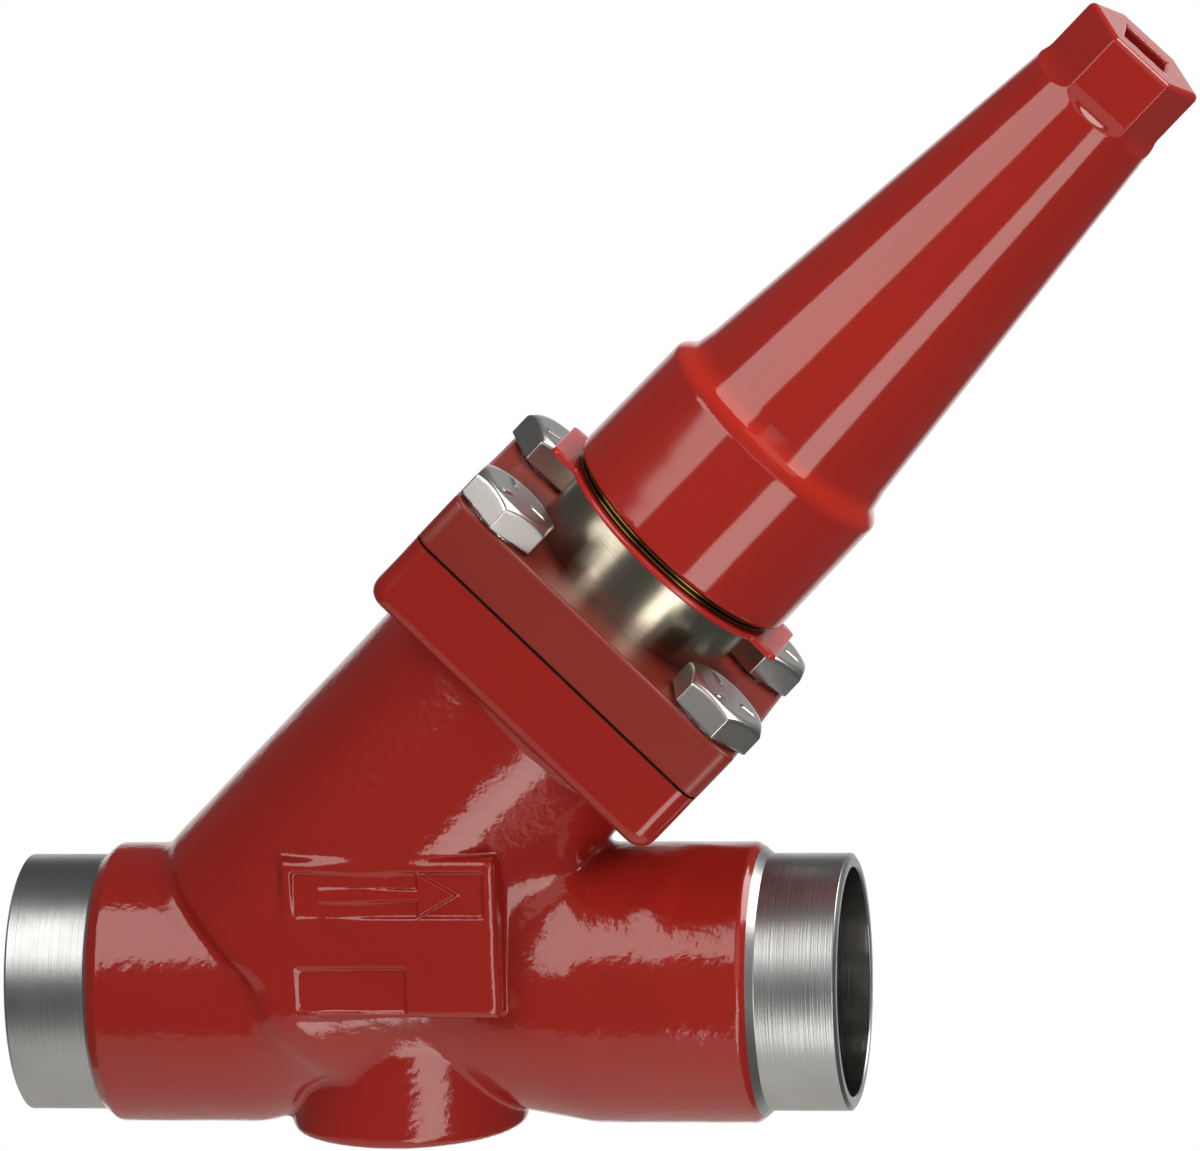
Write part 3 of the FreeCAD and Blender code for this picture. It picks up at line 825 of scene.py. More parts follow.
class Look(Enum):
    """The finishes of the valve."""

    # Deep red and wet, with the grain of the sand mould in its highlights up to the flange.
    BODY_PAINT = Enamel("red enamel over sand casting", "#9B231C", 0.13, wave_size=5.0, wave_height=0.06,
                        grain_size=2.0, grain_height=0.10, grain_top=77.0)
    # Smoother and lighter, with clean bands of light, and a band of painted light over the ridge's shoulder
    # above the skirt.
    CAP_PAINT = Enamel("red enamel over turned steel", "#AB2921", 0.09, wave_size=7.0, wave_height=0.035,
                       painted_light_from=146.4, painted_light_to=153.0)
    # A thin, duller coat, whose faces look even and a little brown.
    PLATE_PAINT = Enamel("red enamel over machined plate", "#8A271B", 0.36, wave_size=9.0, wave_height=0.03)
    # A bright thin coat on pressed sheet.
    RING_PAINT = Enamel("red enamel on sheet", "#BE2C26", 0.22, wave_size=3.0, wave_height=0.012)
    # Coarsely turned and cool grey, so that a soft band of light runs along the pipe's end.
    END_STEEL = TurnedSteel("turned weld end steel", "#B6BABD", 0.34, 1.0, ring_height=0.055,
                            stain="#A2A6A8")
    # The bore is finer, and mirrors the opening in bands. Its colour is painted lighter than the end's steel,
    # a painted brightness that stands in for light inside the bore.
    BORE_STEEL_PAINTED_BRIGHTER = TurnedSteel("bored weld end steel", "#DADCDD", 0.15, 1.0, ring_gap=0.25, ring_height=0.02)
    # Finely turned and a little warm, with sharp dark and light bands round the neck.
    NECK_STEEL = TurnedSteel("turned bonnet steel", "#B8B3A2", 0.22, 1.0, turn=AXIS.lean, ring_height=0.018,
                              stain="#9C988A")
    # Dull and dark in the depth of the casting.
    PASSAGE = TurnedSteel("cast and bored passage", "#9C9B96", 0.45, 1.0, ring_gap=0.8, ring_height=0.01)
    # Pale and nearly a mirror, as a ground spindle is.
    GROUND_STEEL = TurnedSteel("ground stainless steel", "#C8C8C6", 0.18, 1.0, turn=AXIS.lean,
                               ring_height=0.006)
    # Bright and slightly blurred by its scratches.
    ZINC = PlatedSteel("bright zinc plate", "#C4C5C3", 0.30, 1.0)
    # Dark gold, with a thin line of light on each bead.
    CAP_SEAL = PlatedSteel("yellow passivated seal ring", "#6E6238", 0.20, 1.0, scratch_height=0.001)
    # Matt and dark, with specks of fibre.
    FIBRE = PressedCompound("pressed fibre sheet", "#3A3D38", 0.8)
    # Dark with a dull sheen.
    GRAPHITE = PressedCompound("pressed graphite", "#2F2F31", 0.5, grain_size=0.3)
    # Black and even.
    RUBBER = PressedCompound("moulded black rubber", "#1B1B1B", 0.55, grain_size=0.4, grain_height=0.005)
    # Milky white and waxy.
    SEAL_PLASTIC = PressedCompound("turned seal plastic", "#DAD6C8", 0.4, grain_size=0.8, grain_height=0.004)


class Shop:
    """Makes each finish once, and makes pieces of meshes."""

    def __init__(self) -> None:
        """Starts with no finish made."""
        self._made: dict[Look, bpy.types.Material] = {}

    def get(self, look: Look) -> bpy.types.Material:
        """The material of a look.

        Args:
            look: The look.

        Returns:
            Its material, made on first use.
        """
        if look not in self._made:
            self._made[look] = look.value.build()
        return self._made[look]

    def add_piece(self, mesh: bpy.types.Mesh, body: str, slot: str, look: Look,
                  replaces: tuple[str, ...] = ()) -> None:
        """Makes a mesh a piece of the valve.

        Args:
            mesh: Its mesh, in the row's frame.
            body: CAD body that it rides on.
            slot: Material slot of the record; not used.
            look: Its finish.
            replaces: CAD nodes that it stands for.
        """
        piece = bpy.data.objects.new(mesh.name, mesh)
        bpy.context.scene.collection.objects.link(piece)
        mesh.materials.append(self.get(look))
        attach(piece, body)
        if replaces:
            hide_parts(*replaces)
        log.info("%s: %d faces on %s", mesh.name, len(mesh.polygons), body)


# The valve


@dataclass
class CastBody:
    """The sand-cast body: its painted skin, bare weld ends and machined inside.

    A size that ends in round or blend is that of a rounding: a radius in the run's outline, and elsewhere
    the width that soft_min and soft_max take.
    """

    shop: Shop
    length: float = 158.0
    tube_radius: float = 24.15
    bore_radius: float = 21.55
    bevel: float = 0.9
    bevel_run: float = 0.52
    spigot: float = 15.3
    inlet_paint: float = 15.9
    outlet_paint: float = 16.8
    inlet_depth: float = 42.8
    outlet_depth: float = 34.6
    run_radius: float = 26.4
    shoulder: float = 2.7
    shoulder_round: float = 1.6
    waist_radius: float = 21.5
    waist_from: float = 46.0
    waist_in: float = 62.0
    waist_out: float = 82.0
    waist_to: float = 109.0
    waist_round: float = 18.0
    waist_in_round: float = 10.8
    neck_radius: float = 29.6
    neck_bottom: float = 7.6
    neck_round: float = 4.5
    flange_half: float = 35.1165
    flange_corner: float = 4.2
    flange_bottom: float = 79.806
    flange_top: float = 94.206
    flange_round: float = 3.7
    flange_blend: float = 3.0
    boss_radius: float = 22.4
    boss_station: float = 72.3
    boss_bottom: float = -27.33
    boss_top: float = 4.0
    boss_round: float = 2.4
    pad_left: float = 55.2
    pad_right: float = 96.0
    pad_bottom: float = -0.2
    pad_top: float = 30.0
    pad_face: float = 29.8
    pad_corner: float = 1.2
    pad_round: float = 1.9
    margin: float = 2.4
    window_depth: float = 0.9
    window_corner: float = 0.8
    window_round: float = 0.7
    upper_height: float = 8.6
    lower_rise: float = 1.2
    lower_height: float = 8.4
    lower_width: float = 20.6
    arrow_reach: float = 13.0
    arrow_shaft: float = 7.0
    arrow_head: float = 5.6
    arrow_half_width: float = 1.1
    arrow_below_face: float = 0.1
    arrow_depth: float = 3.0
    arrow_round: float = 0.5
    crease_blend: float = 2.5
    bay_blend: float = 15.0
    boss_blend: float = 1.2
    pad_blend: float = 0.9
    # Length, half rise and seed of each set of waves in the cast skin.
    skin_waves: tuple[tuple[float, float, int], ...] = ((19.0, 0.035, 3), (7.0, 0.014, 5))
    skin_cell: float = 1.0
    pad_cell: float = 0.36
    pad_lap: float = 0.25
    turned_steps: int = 240

    def run_outline(self) -> Array:
        """Outline of the run, from weld end to weld end.

        Returns:
            Rows of (x, radius).
        """
        far, tube, wide, waist = self.length, self.tube_radius, self.run_radius, self.waist_radius
        step = self.spigot + self.shoulder
        return rounded_profile([
            (0.0, tube), (self.spigot, tube), (step, wide, self.shoulder_round),
            (self.waist_from, wide, self.waist_round), (self.waist_in, waist, self.waist_in_round),
            (self.waist_out, waist, self.waist_round), (self.waist_to, wide, self.waist_round),
            (far - step, wide, self.shoulder_round), (far - self.spigot, tube), (far, tube)])

    def run_distance(self, points: Array) -> Array:
        """Distance from the pipe's axis less the outline's radius at that x."""
        outline = self.run_outline()
        return np.hypot(points[:, 1], points[:, 2]) - np.interp(points[:, 0], outline[:, 0], outline[:, 1])

    def neck_distance(self, points: Array) -> Array:
        """Leaning cylinder with a rounded lower end, filled into the square flange above.

        Args:
            points: Rows of (x, y, z).

        Returns:
            The distance at each point.
        """
        v, y, u = AXIS.upright(points).T
        neck = soft_max(np.hypot(v, y) - self.neck_radius, self.neck_bottom - u, self.neck_round)
        square = rounded_square(v, y, self.flange_half, self.flange_corner)
        return soft_min(neck, soft_max(square, self.flange_bottom - u, self.flange_round), self.flange_blend)

    def boss_distance(self, points: Array) -> Array:
        """Upright cylinder under the body, between its bottom face and a top inside the run.

        Args:
            points: Rows of (x, y, z).

        Returns:
            The distance at each point.
        """
        x, y, z = points.T
        side = np.hypot(x - self.boss_station, y) - self.boss_radius
        return soft_max(soft_max(side, self.boss_bottom - z, self.boss_round), z - self.boss_top, 3.0)

    def pad_distance(self, points: Array) -> Array:
        """Block on the near side with rounded edges, less its two sunk windows and plus a cast arrow.

        Args:
            points: Rows of (x, y, z).

        Returns:
            The distance at each point.
        """
        x, y, z = points.T
        left, right = self.pad_left + self.margin, self.pad_right - self.margin
        bottom, top = self.pad_bottom + self.lower_rise, self.pad_top - self.margin
        block = self.block(x, z, (self.pad_left, self.pad_right), (self.pad_bottom, self.pad_top),
                           self.pad_corner)
        block = np.maximum(soft_max(block, -self.pad_face - y, self.pad_round), y)
        floor = self.window_depth - self.pad_face - y
        for across, up in (((left, right), (top - self.upper_height, top)),
                           ((left, left + self.lower_width), (bottom, bottom + self.lower_height))):
            window = soft_max(self.block(x, z, across, up, self.window_corner), -floor, self.window_round)
            block = soft_max(block, -window, self.window_round)
        arrow = self.arrow_distance(x, y, z, top - self.upper_height / 2)
        return soft_min(block, arrow, self.arrow_round)

    def arrow_distance(self, x: Array, y: Array, z: Array, height: float) -> Array:
        """Plain arrow in the upper window: a shaft and the overlap of two slanted half planes.

        Args:
            x: First coordinate of the points.
            y: Second coordinate.
            z: Third coordinate.
            height: Height of the arrow's middle.

        Returns:
            The distance at each point.
        """
        middle = (self.pad_left + self.pad_right) / 2
        shaft = self.block(x, z, (middle - self.arrow_reach, middle + self.arrow_shaft),
                           (height - self.arrow_half_width, height + self.arrow_half_width), 0.4)
        # Each slanted edge leans 30 degrees: 0.5 is its sine and 0.866 its cosine.
        head = (x - middle - self.arrow_reach) * 0.5 + np.abs(z - height) * 0.866
        head = soft_max(head, middle + self.arrow_head - x, self.arrow_round)
        raised = soft_max(soft_min(shaft, head, 0.4), self.arrow_below_face - self.pad_face - y,
                          self.arrow_round)
        return np.maximum(raised, y + self.pad_face - self.arrow_depth)

    @staticmethod
    def block(x: Array, z: Array, across: tuple[float, float], up: tuple[float, float],
              blend: float) -> Array:
        """Rectangle in the XZ plane with soft corners, from its lowest and highest x and z."""
        return soft_max(np.abs(x - (across[0] + across[1]) / 2) - (across[1] - across[0]) / 2,
                        np.abs(z - (up[0] + up[1]) / 2) - (up[1] - up[0]) / 2, blend)

    def distance(self, points: Array) -> Array:
        """The painted casting: run, neck, boss and pad filled together, with an uneven cast skin.

        The fillet between run and neck is narrow, and grows wide under the flange, beyond the neck's axis
        and off the middle plane. The skin is calm where it meets a machined face.

        Args:
            points: Rows of (x, y, z).

        Returns:
            The distance at each point.
        """
        x, (v, y, u) = points[:, 0], AXIS.upright(points).T
        bay = smooth_step(v, -4.0, 12.0) * smooth_step(np.abs(y), 6.0, 20.0)
        fillet = self.crease_blend + (self.bay_blend - self.crease_blend) * bay
        whole = soft_min(self.run_distance(points), self.neck_distance(points), fillet)
        whole = soft_min(whole, self.boss_distance(points), self.boss_blend)
        whole = soft_min(whole, self.pad_distance(points), self.pad_blend)
        calm = smooth_step(x, self.inlet_paint, 24.0) * smooth_step(self.length - x, self.outlet_paint, 24.0)
        calm = calm * smooth_step(self.flange_top - u, 0.5, 5.0)
        return whole + sum(waviness(points, *wave) for wave in self.skin_waves) * calm

    def pad_box(self) -> tuple[Point, Point]:
        """Box round the pad that gets the finer net."""
        return ((self.pad_left - 3.2, -34.0, self.pad_bottom - 3.4),
                (self.pad_right + 3.2, -17.0, self.pad_top + 3.2))

    def clear_pad_box(self, mesh: bpy.types.Mesh) -> None:
        """Clears the faces of the coarse skin inside the pad's box, after cutting along its planes.

        Args:
            mesh: The coarse skin.
        """
        low, high = self.pad_box()
        work = bmesh.new()
        work.from_mesh(mesh)
        for cut in (Cut((low[0], 0, 0), (1, 0, 0)), Cut((high[0], 0, 0), (1, 0, 0)),
                    Cut((0, 0, low[2]), (0, 0, 1)), Cut((0, 0, high[2]), (0, 0, 1))):
            slice_mesh(work, cut, clear=False)
        gone = []
        for face in work.faces:
            x, y, z = face.calc_center_median() / METRES
            if low[0] < x < high[0] and low[2] < z < high[2] and y < high[1]:
                gone.append(face)
        bmesh.ops.delete(work, geom=gone, context="FACES")
        work.to_mesh(mesh)
        work.free()

    def build_skin(self) -> None:
        """Nets the painted skin of the body, all but the pad."""
        left, right = self.inlet_paint, self.length - self.outlet_paint
        trims = (Cut((left, 0, 0), (-1, 0, 0)), Cut((right, 0, 0), (1, 0, 0)),
                 Cut(AXIS.point(self.flange_top), AXIS.way()))
        low = (left - 3, -self.flange_half - 2, self.boss_bottom - 2)
        high = (right + 3, self.flange_half + 2, 98.0)
        mesh = mesh_from("cast_skin", *net_surface(self.distance, low, high, self.skin_cell), trims)
        self.clear_pad_box(mesh)
        shade_by_formula(mesh, self.distance)
        self.shop.add_piece(mesh, "housing", "red_body_paint", Look.BODY_PAINT, ("valve_body",))

    def build_pad(self) -> None:
        """Nets the pad more finely, lapping the skin by a hair."""
        low, high = self.pad_box()
        grown = self.pad_cell * 3
        box = tuple(c - grown for c in low), (high[0] + grown, high[1], high[2] + grown)
        low, high = tuple(c - self.pad_lap for c in low), tuple(c + self.pad_lap for c in high)
        trims = (Cut(low, (-1, 0, 0)), Cut(low, (0, 0, -1)), Cut(high, (1, 0, 0)), Cut(high, (0, 0, 1)))
        mesh = netted_mesh("cast_pad", self.distance, box, self.pad_cell, trims)
        self.shop.add_piece(mesh, "housing", "red_body_paint", Look.BODY_PAINT)

    def build_ends(self) -> None:
        """Turns the two bare weld ends, each a closed ring with bevel, face and bore."""
        slope = (self.run_radius - self.tube_radius) / self.shoulder
        tube, bore = self.tube_radius, self.bore_radius
        for name, start, way, edge, depth in (
                ("inlet_end", 0.0, 1, self.inlet_paint, self.inlet_depth),
                ("outlet_end", self.length, -1, self.outlet_paint, self.outlet_depth)):
            shoulder = tube + (edge - self.spigot) * slope - 0.04
            profile = rounded_profile([
                (0.0, bore + 0.25), (0.0, tube - self.bevel, 0.08), (self.bevel_run, tube, 0.25),
                (self.spigot, tube, 0.3), (edge, shoulder), (edge + 0.8, shoulder - 0.5),
                (depth, bore + 0.4), (depth, bore), (0.25, bore, 0.1)])
            vertices, quads = carried_round(profile, self.turned_steps)
            mesh = turned_mesh(name, along_x(vertices, start, way), quads, 40.0)
            self.shop.add_piece(mesh, "housing", "turned_steel", Look.END_STEEL)
            # The bore's faces take the lighter steel, whose colour is a painted brightness inside the bore.
            mesh.materials.append(self.shop.get(Look.BORE_STEEL_PAINTED_BRIGHTER))
            centres = np.empty(len(mesh.polygons) * 3)
            mesh.polygons.foreach_get("center", centres)
            centres = centres.reshape(-1, 3) / METRES
            bored = np.hypot(centres[:, 1], centres[:, 2]) < bore + 0.02
            mesh.polygons.foreach_set("material_index", bored.astype(np.int32))

    def machined(self, corners: Array) -> Array:
        """Says which CAD faces are the passage, seat, chamber, flange top and bolt holes.

        They lie well inside the skin or on the flange's top, and not in the weld ends or their bores.

        Args:
            corners: Faces, given as rows of three corners.

        Returns:
            Whether each face is one of them.
        """
        centres = corners.mean(1)
        x, y, z = centres.T
        within = (self.distance(corners.reshape(-1, 3)).reshape(-1, 3) < -0.5).all(1)
        deep = within & (self.distance(centres) < -1.3)
        top = AXIS.upright(centres)[:, 2] > self.flange_top - 0.06
        outlet_bore = self.length - self.outlet_depth
        off_bore = np.hypot(y, z) - self.bore_radius
        bores = (off_bore > -0.25) & (off_bore < 0.1) & ((x < AXIS.station) | (x > outlet_bore))
        end = (x < self.spigot) | (x > self.length - self.spigot)
        return (deep | top) & ~bores & ~end

    def build(self) -> None:
        """Builds the skin, the pad, the weld ends and the inside."""
        self.build_skin()
        self.build_pad()
        self.build_ends()
        mesh = kept_faces("machined_inside", "valve_body", self.machined)
        self.shop.add_piece(mesh, "housing", "turned_steel", Look.PASSAGE)


@dataclass
class Bonnet:
    """The square plate with its bare turned neck, its bores and its bolts."""

    shop: Shop
    half: float = 35.1165
    corner: float = 3.0
    bottom: float = 94.556
    top: float = 105.356
    top_round: float = 0.8
    bottom_round: float = 0.7
    # Length, half rise and seed of the waves in the plate's sides.
    side_waves: tuple[float, float, int] = (17.0, 0.04, 11)
    plate_cell: float = 0.72
    neck_radius: float = 21.7
    shoulder: float = 117.906
    thread_radius: float = 20.4
    thread_top: float = 135.506
    thread_pitch: float = 2.0
    thread_depth: float = 0.9
    thread_steps: int = 150
    bore_radius: float = 12.5
    bore_wall: float = 2.0
    turned_steps: int = 240
    bolt_half: float = 26.5165
    head_width: float = 17.0
    head_height: float = 6.4
    head_round: float = 0.5
    head_cell: float = 0.36
    head_turns: tuple[float, ...] = (0.0, 17.0, 6.5, -25.5)
    crown_radius: float = 7.905
    washer_radius: float = 8.075
    washer_height: float = 0.8
    bar_from: float = 4.6
    bar_half: float = 1.5
    bar_half_width: float = 0.55
    bar_rise: float = 0.22
    bar_round: float = 0.4
    shank_radius: float = 5.0
    shank_length: float = 23.55
    shank_pitch: float = 1.5
    shank_depth: float = 0.45
    shank_steps: int = 220

    def plate_distance(self, points: Array) -> Array:
        """Rounded square in upright coordinates, with small soft edges above and below.

        Args:
            points: Rows of (x, y, z).

        Returns:
            The distance at each point.
        """
        v, y, u = AXIS.upright(points).T
        side = rounded_square(v, y, self.half, self.corner)
        calm = smooth_step(u, self.bottom + 0.6, self.bottom + 3.0)
        side = side + waviness(points, *self.side_waves) * calm
        return soft_max(soft_max(side, u - self.top, self.top_round), self.bottom - u, self.bottom_round)

    def build_plate(self) -> None:
        """Nets the painted plate."""
        box = AXIS.box(37.0, 92.0, 107.5, self.half + 2)
        mesh = netted_mesh("bonnet_plate", self.plate_distance, box, self.plate_cell)
        self.shop.add_piece(mesh, "housing", "bonnet_steel", Look.PLATE_PAINT, ("bonnet",))

    def neck_thread(self, height: Array, angle: Array) -> Array:
        """Cut of the cap's thread in the neck, which fades at both ends.

        Args:
            height: Height on the axis.
            angle: Angle round it.

        Returns:
            Change of radius, 0 off the thread.
        """
        cut = -self.thread_depth * thread_wave(height, angle, self.thread_pitch)
        fade = smooth_step(height, self.shoulder + 1.2, self.shoulder + 2.6)
        return cut * fade * smooth_step(self.thread_top - height, 0.3, 1.0)

    def build_neck(self) -> None:
        """Turns the bare neck and its cap thread, as one closed ring on the plate."""
        foot, wall = self.top - 1.0, self.bore_radius + self.bore_wall
        below = rounded_profile([(foot, wall), (foot, self.neck_radius),
                                 (self.shoulder, self.neck_radius, 0.4), (self.shoulder, self.thread_radius)])
        thread = np.linspace(self.shoulder + 0.5, self.thread_top - 0.5, self.thread_steps)
        above = np.array([(self.thread_top, self.thread_radius - 0.5), (self.thread_top, wall)])
        profile = np.concatenate([
            below, np.stack([thread, np.full(self.thread_steps, self.thread_radius)], 1), above])
        vertices, quads = carried_round(profile, self.turned_steps, self.neck_thread)
        mesh = turned_mesh("bonnet_neck", AXIS.placed(vertices), quads, 35.0)
        self.shop.add_piece(mesh, "housing", "turned_steel", Look.NECK_STEEL)

    def bored(self, corners: Array) -> Array:
        """Says which CAD faces are the bonnet's bores or its spigot, below the plate.

        Args:
            corners: Faces, given as rows of three corners.

        Returns:
            Whether each face is one of them.
        """
        v, y, u = AXIS.upright(corners.mean(1)).T
        return (np.hypot(v, y) < self.bore_radius + 1.9) | (u < self.bottom - 0.02)

    def head_distance(self, points: Array) -> Array:
        """Hexagon head on its washer face, crowned by a 30 degree cone, with three plain raised bars.

        Args:
            points: Rows of (x, y, u), from the middle of the head's seat.

        Returns:
            The distance at each point.
        """
        x, y, u = points.T
        radius, angle = np.hypot(x, y), np.arctan2(y, x)
        above = u - self.head_height
        hexagon = soft_max(radius * np.cos(folded(angle, 6)) - self.head_width / 2, 0.5 - u, 0.25)
        lean = math.radians(30)
        crown = (radius - self.crown_radius) * math.sin(lean) + above * math.cos(lean)
        head = soft_max(soft_max(hexagon, crown, self.head_round), above, self.head_round)
        washer = np.maximum(radius - self.washer_radius, np.maximum(-u, u - self.washer_height))
        third = folded(angle, 3)
        bar = np.maximum(np.abs(radius * np.sin(third)) - self.bar_half_width,
                         np.abs(radius * np.cos(third) - self.bar_from) - self.bar_half)
        bar = soft_max(bar, above - self.bar_rise, self.bar_round)
        bar = soft_max(bar, -above - 1.0, self.bar_round)
        return soft_min(np.minimum(head, washer), bar, self.bar_round)

    def shank_thread(self, height: Array, angle: Array) -> Array:
        """Cut of the bolt's thread, from just above its tip to the head."""
        cut = -self.shank_depth * thread_wave(height, angle, self.shank_pitch)
        return np.where(height < 0, cut, 0.0) * (height > -self.shank_length + 0.2)

    def build_bolts(self) -> None:
        """Nets one head and threads one shank, and sets four of each."""
        head, quads = net_surface(self.head_distance, (-10.6, -10.6, -0.6), (10.6, 10.6, 7.2),
                                  self.head_cell)
        normals = unit_slope(self.head_distance, head)
        length = np.linspace(-self.shank_length, 0.3, self.shank_steps)
        taper = smooth_step(length, -self.shank_length, -self.shank_length + 1.2)
        profile = np.stack([length, self.shank_radius * (0.86 + 0.14 * taper)], 1)
        profile = np.concatenate([[[length[0], 0.01]], profile, [[length[-1], 0.01]]])
        shank, shank_quads = carried_round(profile, 48, self.shank_thread, closed=False)
        for index, ((side_v, side_y), turn) in enumerate(zip(
                ((-1, -1), (1, -1), (1, 1), (-1, 1)), self.head_turns)):
            cosine, sine = math.cos(math.radians(turn)), math.sin(math.radians(turn))
            spin = np.array([[cosine, sine, 0.0], [-sine, cosine, 0.0], [0.0, 0.0, 1.0]])
            seat = np.array([side_v * self.bolt_half, side_y * self.bolt_half, self.top])
            mesh = mesh_from(f"bolt_head_{index + 1}", AXIS.placed(head @ spin + seat), quads)
            mesh.normals_split_custom_set_from_vertices(AXIS.turned(normals @ spin).tolist())
            self.shop.add_piece(mesh, "housing", "zinc_bolts", Look.ZINC,
                                ("bonnet_bolts",) if index == 0 else ())
            vertices = AXIS.placed(shank @ spin + seat)
            mesh = mesh_from(f"bolt_shank_{index + 1}", vertices, facing_out(vertices, shank_quads))
            self.shop.add_piece(mesh, "housing", "zinc_bolts", Look.ZINC)

    def build(self) -> None:
        """Builds the plate, neck, bores and bolts."""
        self.build_plate()
        self.build_neck()
        mesh = kept_faces("bonnet_bores", "bonnet", self.bored)
        self.shop.add_piece(mesh, "housing", "turned_steel", Look.NECK_STEEL)
        self.build_bolts()


@dataclass
class RingAndSeal:
    """The thin marking ring with its two tabs, and the sealing ring between it and the cap."""

    shop: Shop
    bore: float = 20.4
    radius: float = 25.2
    reach: float = 28.3
    half_width: float = 11.5
    tab_corner: float = 1.5
    bottom: float = 117.906
    thickness: float = 1.1
    ring_steps: int = 720
    seal_inner: float = 20.46
    seal_outer: float = 23.9
    seal_top: float = 120.906
    seal_bead: float = 0.55
    seal_steps: int = 240

    def outline(self, angle: Array) -> Array:
        """Radius of the ring's edge at an angle: the circle, or the tab where that reaches further.

        A tab's edge is reach / |cos a|, cut by half_width / |sin a|, with its corners cut by a third line.

        Args:
            angle: Angle round the axis.

        Returns:
            The radius.
        """
        cosine, sine = np.abs(np.cos(angle)), np.abs(np.sin(angle))
        end = self.reach / np.maximum(cosine, 1e-6)
        side = self.half_width / np.maximum(sine, 1e-6)
        slant = (self.reach + self.half_width - self.tab_corner * 0.6) / np.maximum(cosine + sine, 1e-6)
        return np.maximum(self.radius, np.minimum(np.minimum(end, side), slant))

    def build_ring(self) -> None:
        """Carries a thin section with round edges from the bore to the outline, all the way round.

        A point of the section is its share of the way out, how far it is drawn in at the round edge, and
        its height.
        """
        angle = np.arange(self.ring_steps) * TURN / self.ring_steps
        edge = self.thickness / 2
        lip = np.linspace(-math.pi / 2, math.pi / 2, 7)
        out = np.concatenate([[0.0, 0.7], np.ones(7), [0.7, 0.0]])
        inset = np.concatenate([[0.0, 0.0], edge * 0.35 * (1 - np.cos(lip)), [0.0, 0.0]])
        height = np.concatenate([[-edge, -edge], edge * np.sin(lip), [edge, edge]])
        radius = self.bore + out[:, None] * (self.outline(angle)[None, :] - self.bore) - inset[:, None]
        rise = np.repeat(height[:, None], self.ring_steps, 1) + self.bottom + edge
        vertices = np.stack([radius * np.cos(angle), radius * np.sin(angle), rise], -1).reshape(-1, 3)
        quads = ring_quads(len(out), self.ring_steps)
        mesh = turned_mesh("marking_plate", AXIS.placed(vertices), quads, 50.0)
        self.shop.add_piece(mesh, "housing", "red_ring_paint", Look.RING_PAINT, ("marking_ring",))

    def build_seal(self) -> None:
        """Turns the sealing ring: two beads with a groove between them, bulging as |sin| to the power 0.6."""
        bottom = self.bottom + self.thickness
        height = np.linspace(bottom + 0.02, self.seal_top - 0.02, 41)
        share = (height - bottom) / (self.seal_top - bottom)
        bulge = np.abs(np.sin(share * TURN)) ** 0.6 * self.seal_bead
        profile = np.concatenate([[[bottom, self.seal_inner]],
                                  np.stack([height, self.seal_outer - self.seal_bead + bulge], 1),
                                  [[self.seal_top, self.seal_inner]]])
        vertices, quads = carried_round(profile, self.seal_steps)
        mesh = turned_mesh("cap_seal_ring", AXIS.placed(vertices), quads, 60.0)
        self.shop.add_piece(mesh, "cap_seal", "cap_seal_rubber", Look.CAP_SEAL, ("cap_gasket",))

    def build(self) -> None:
        """Builds the ring and the seal."""
        self.build_ring()
        self.build_seal()


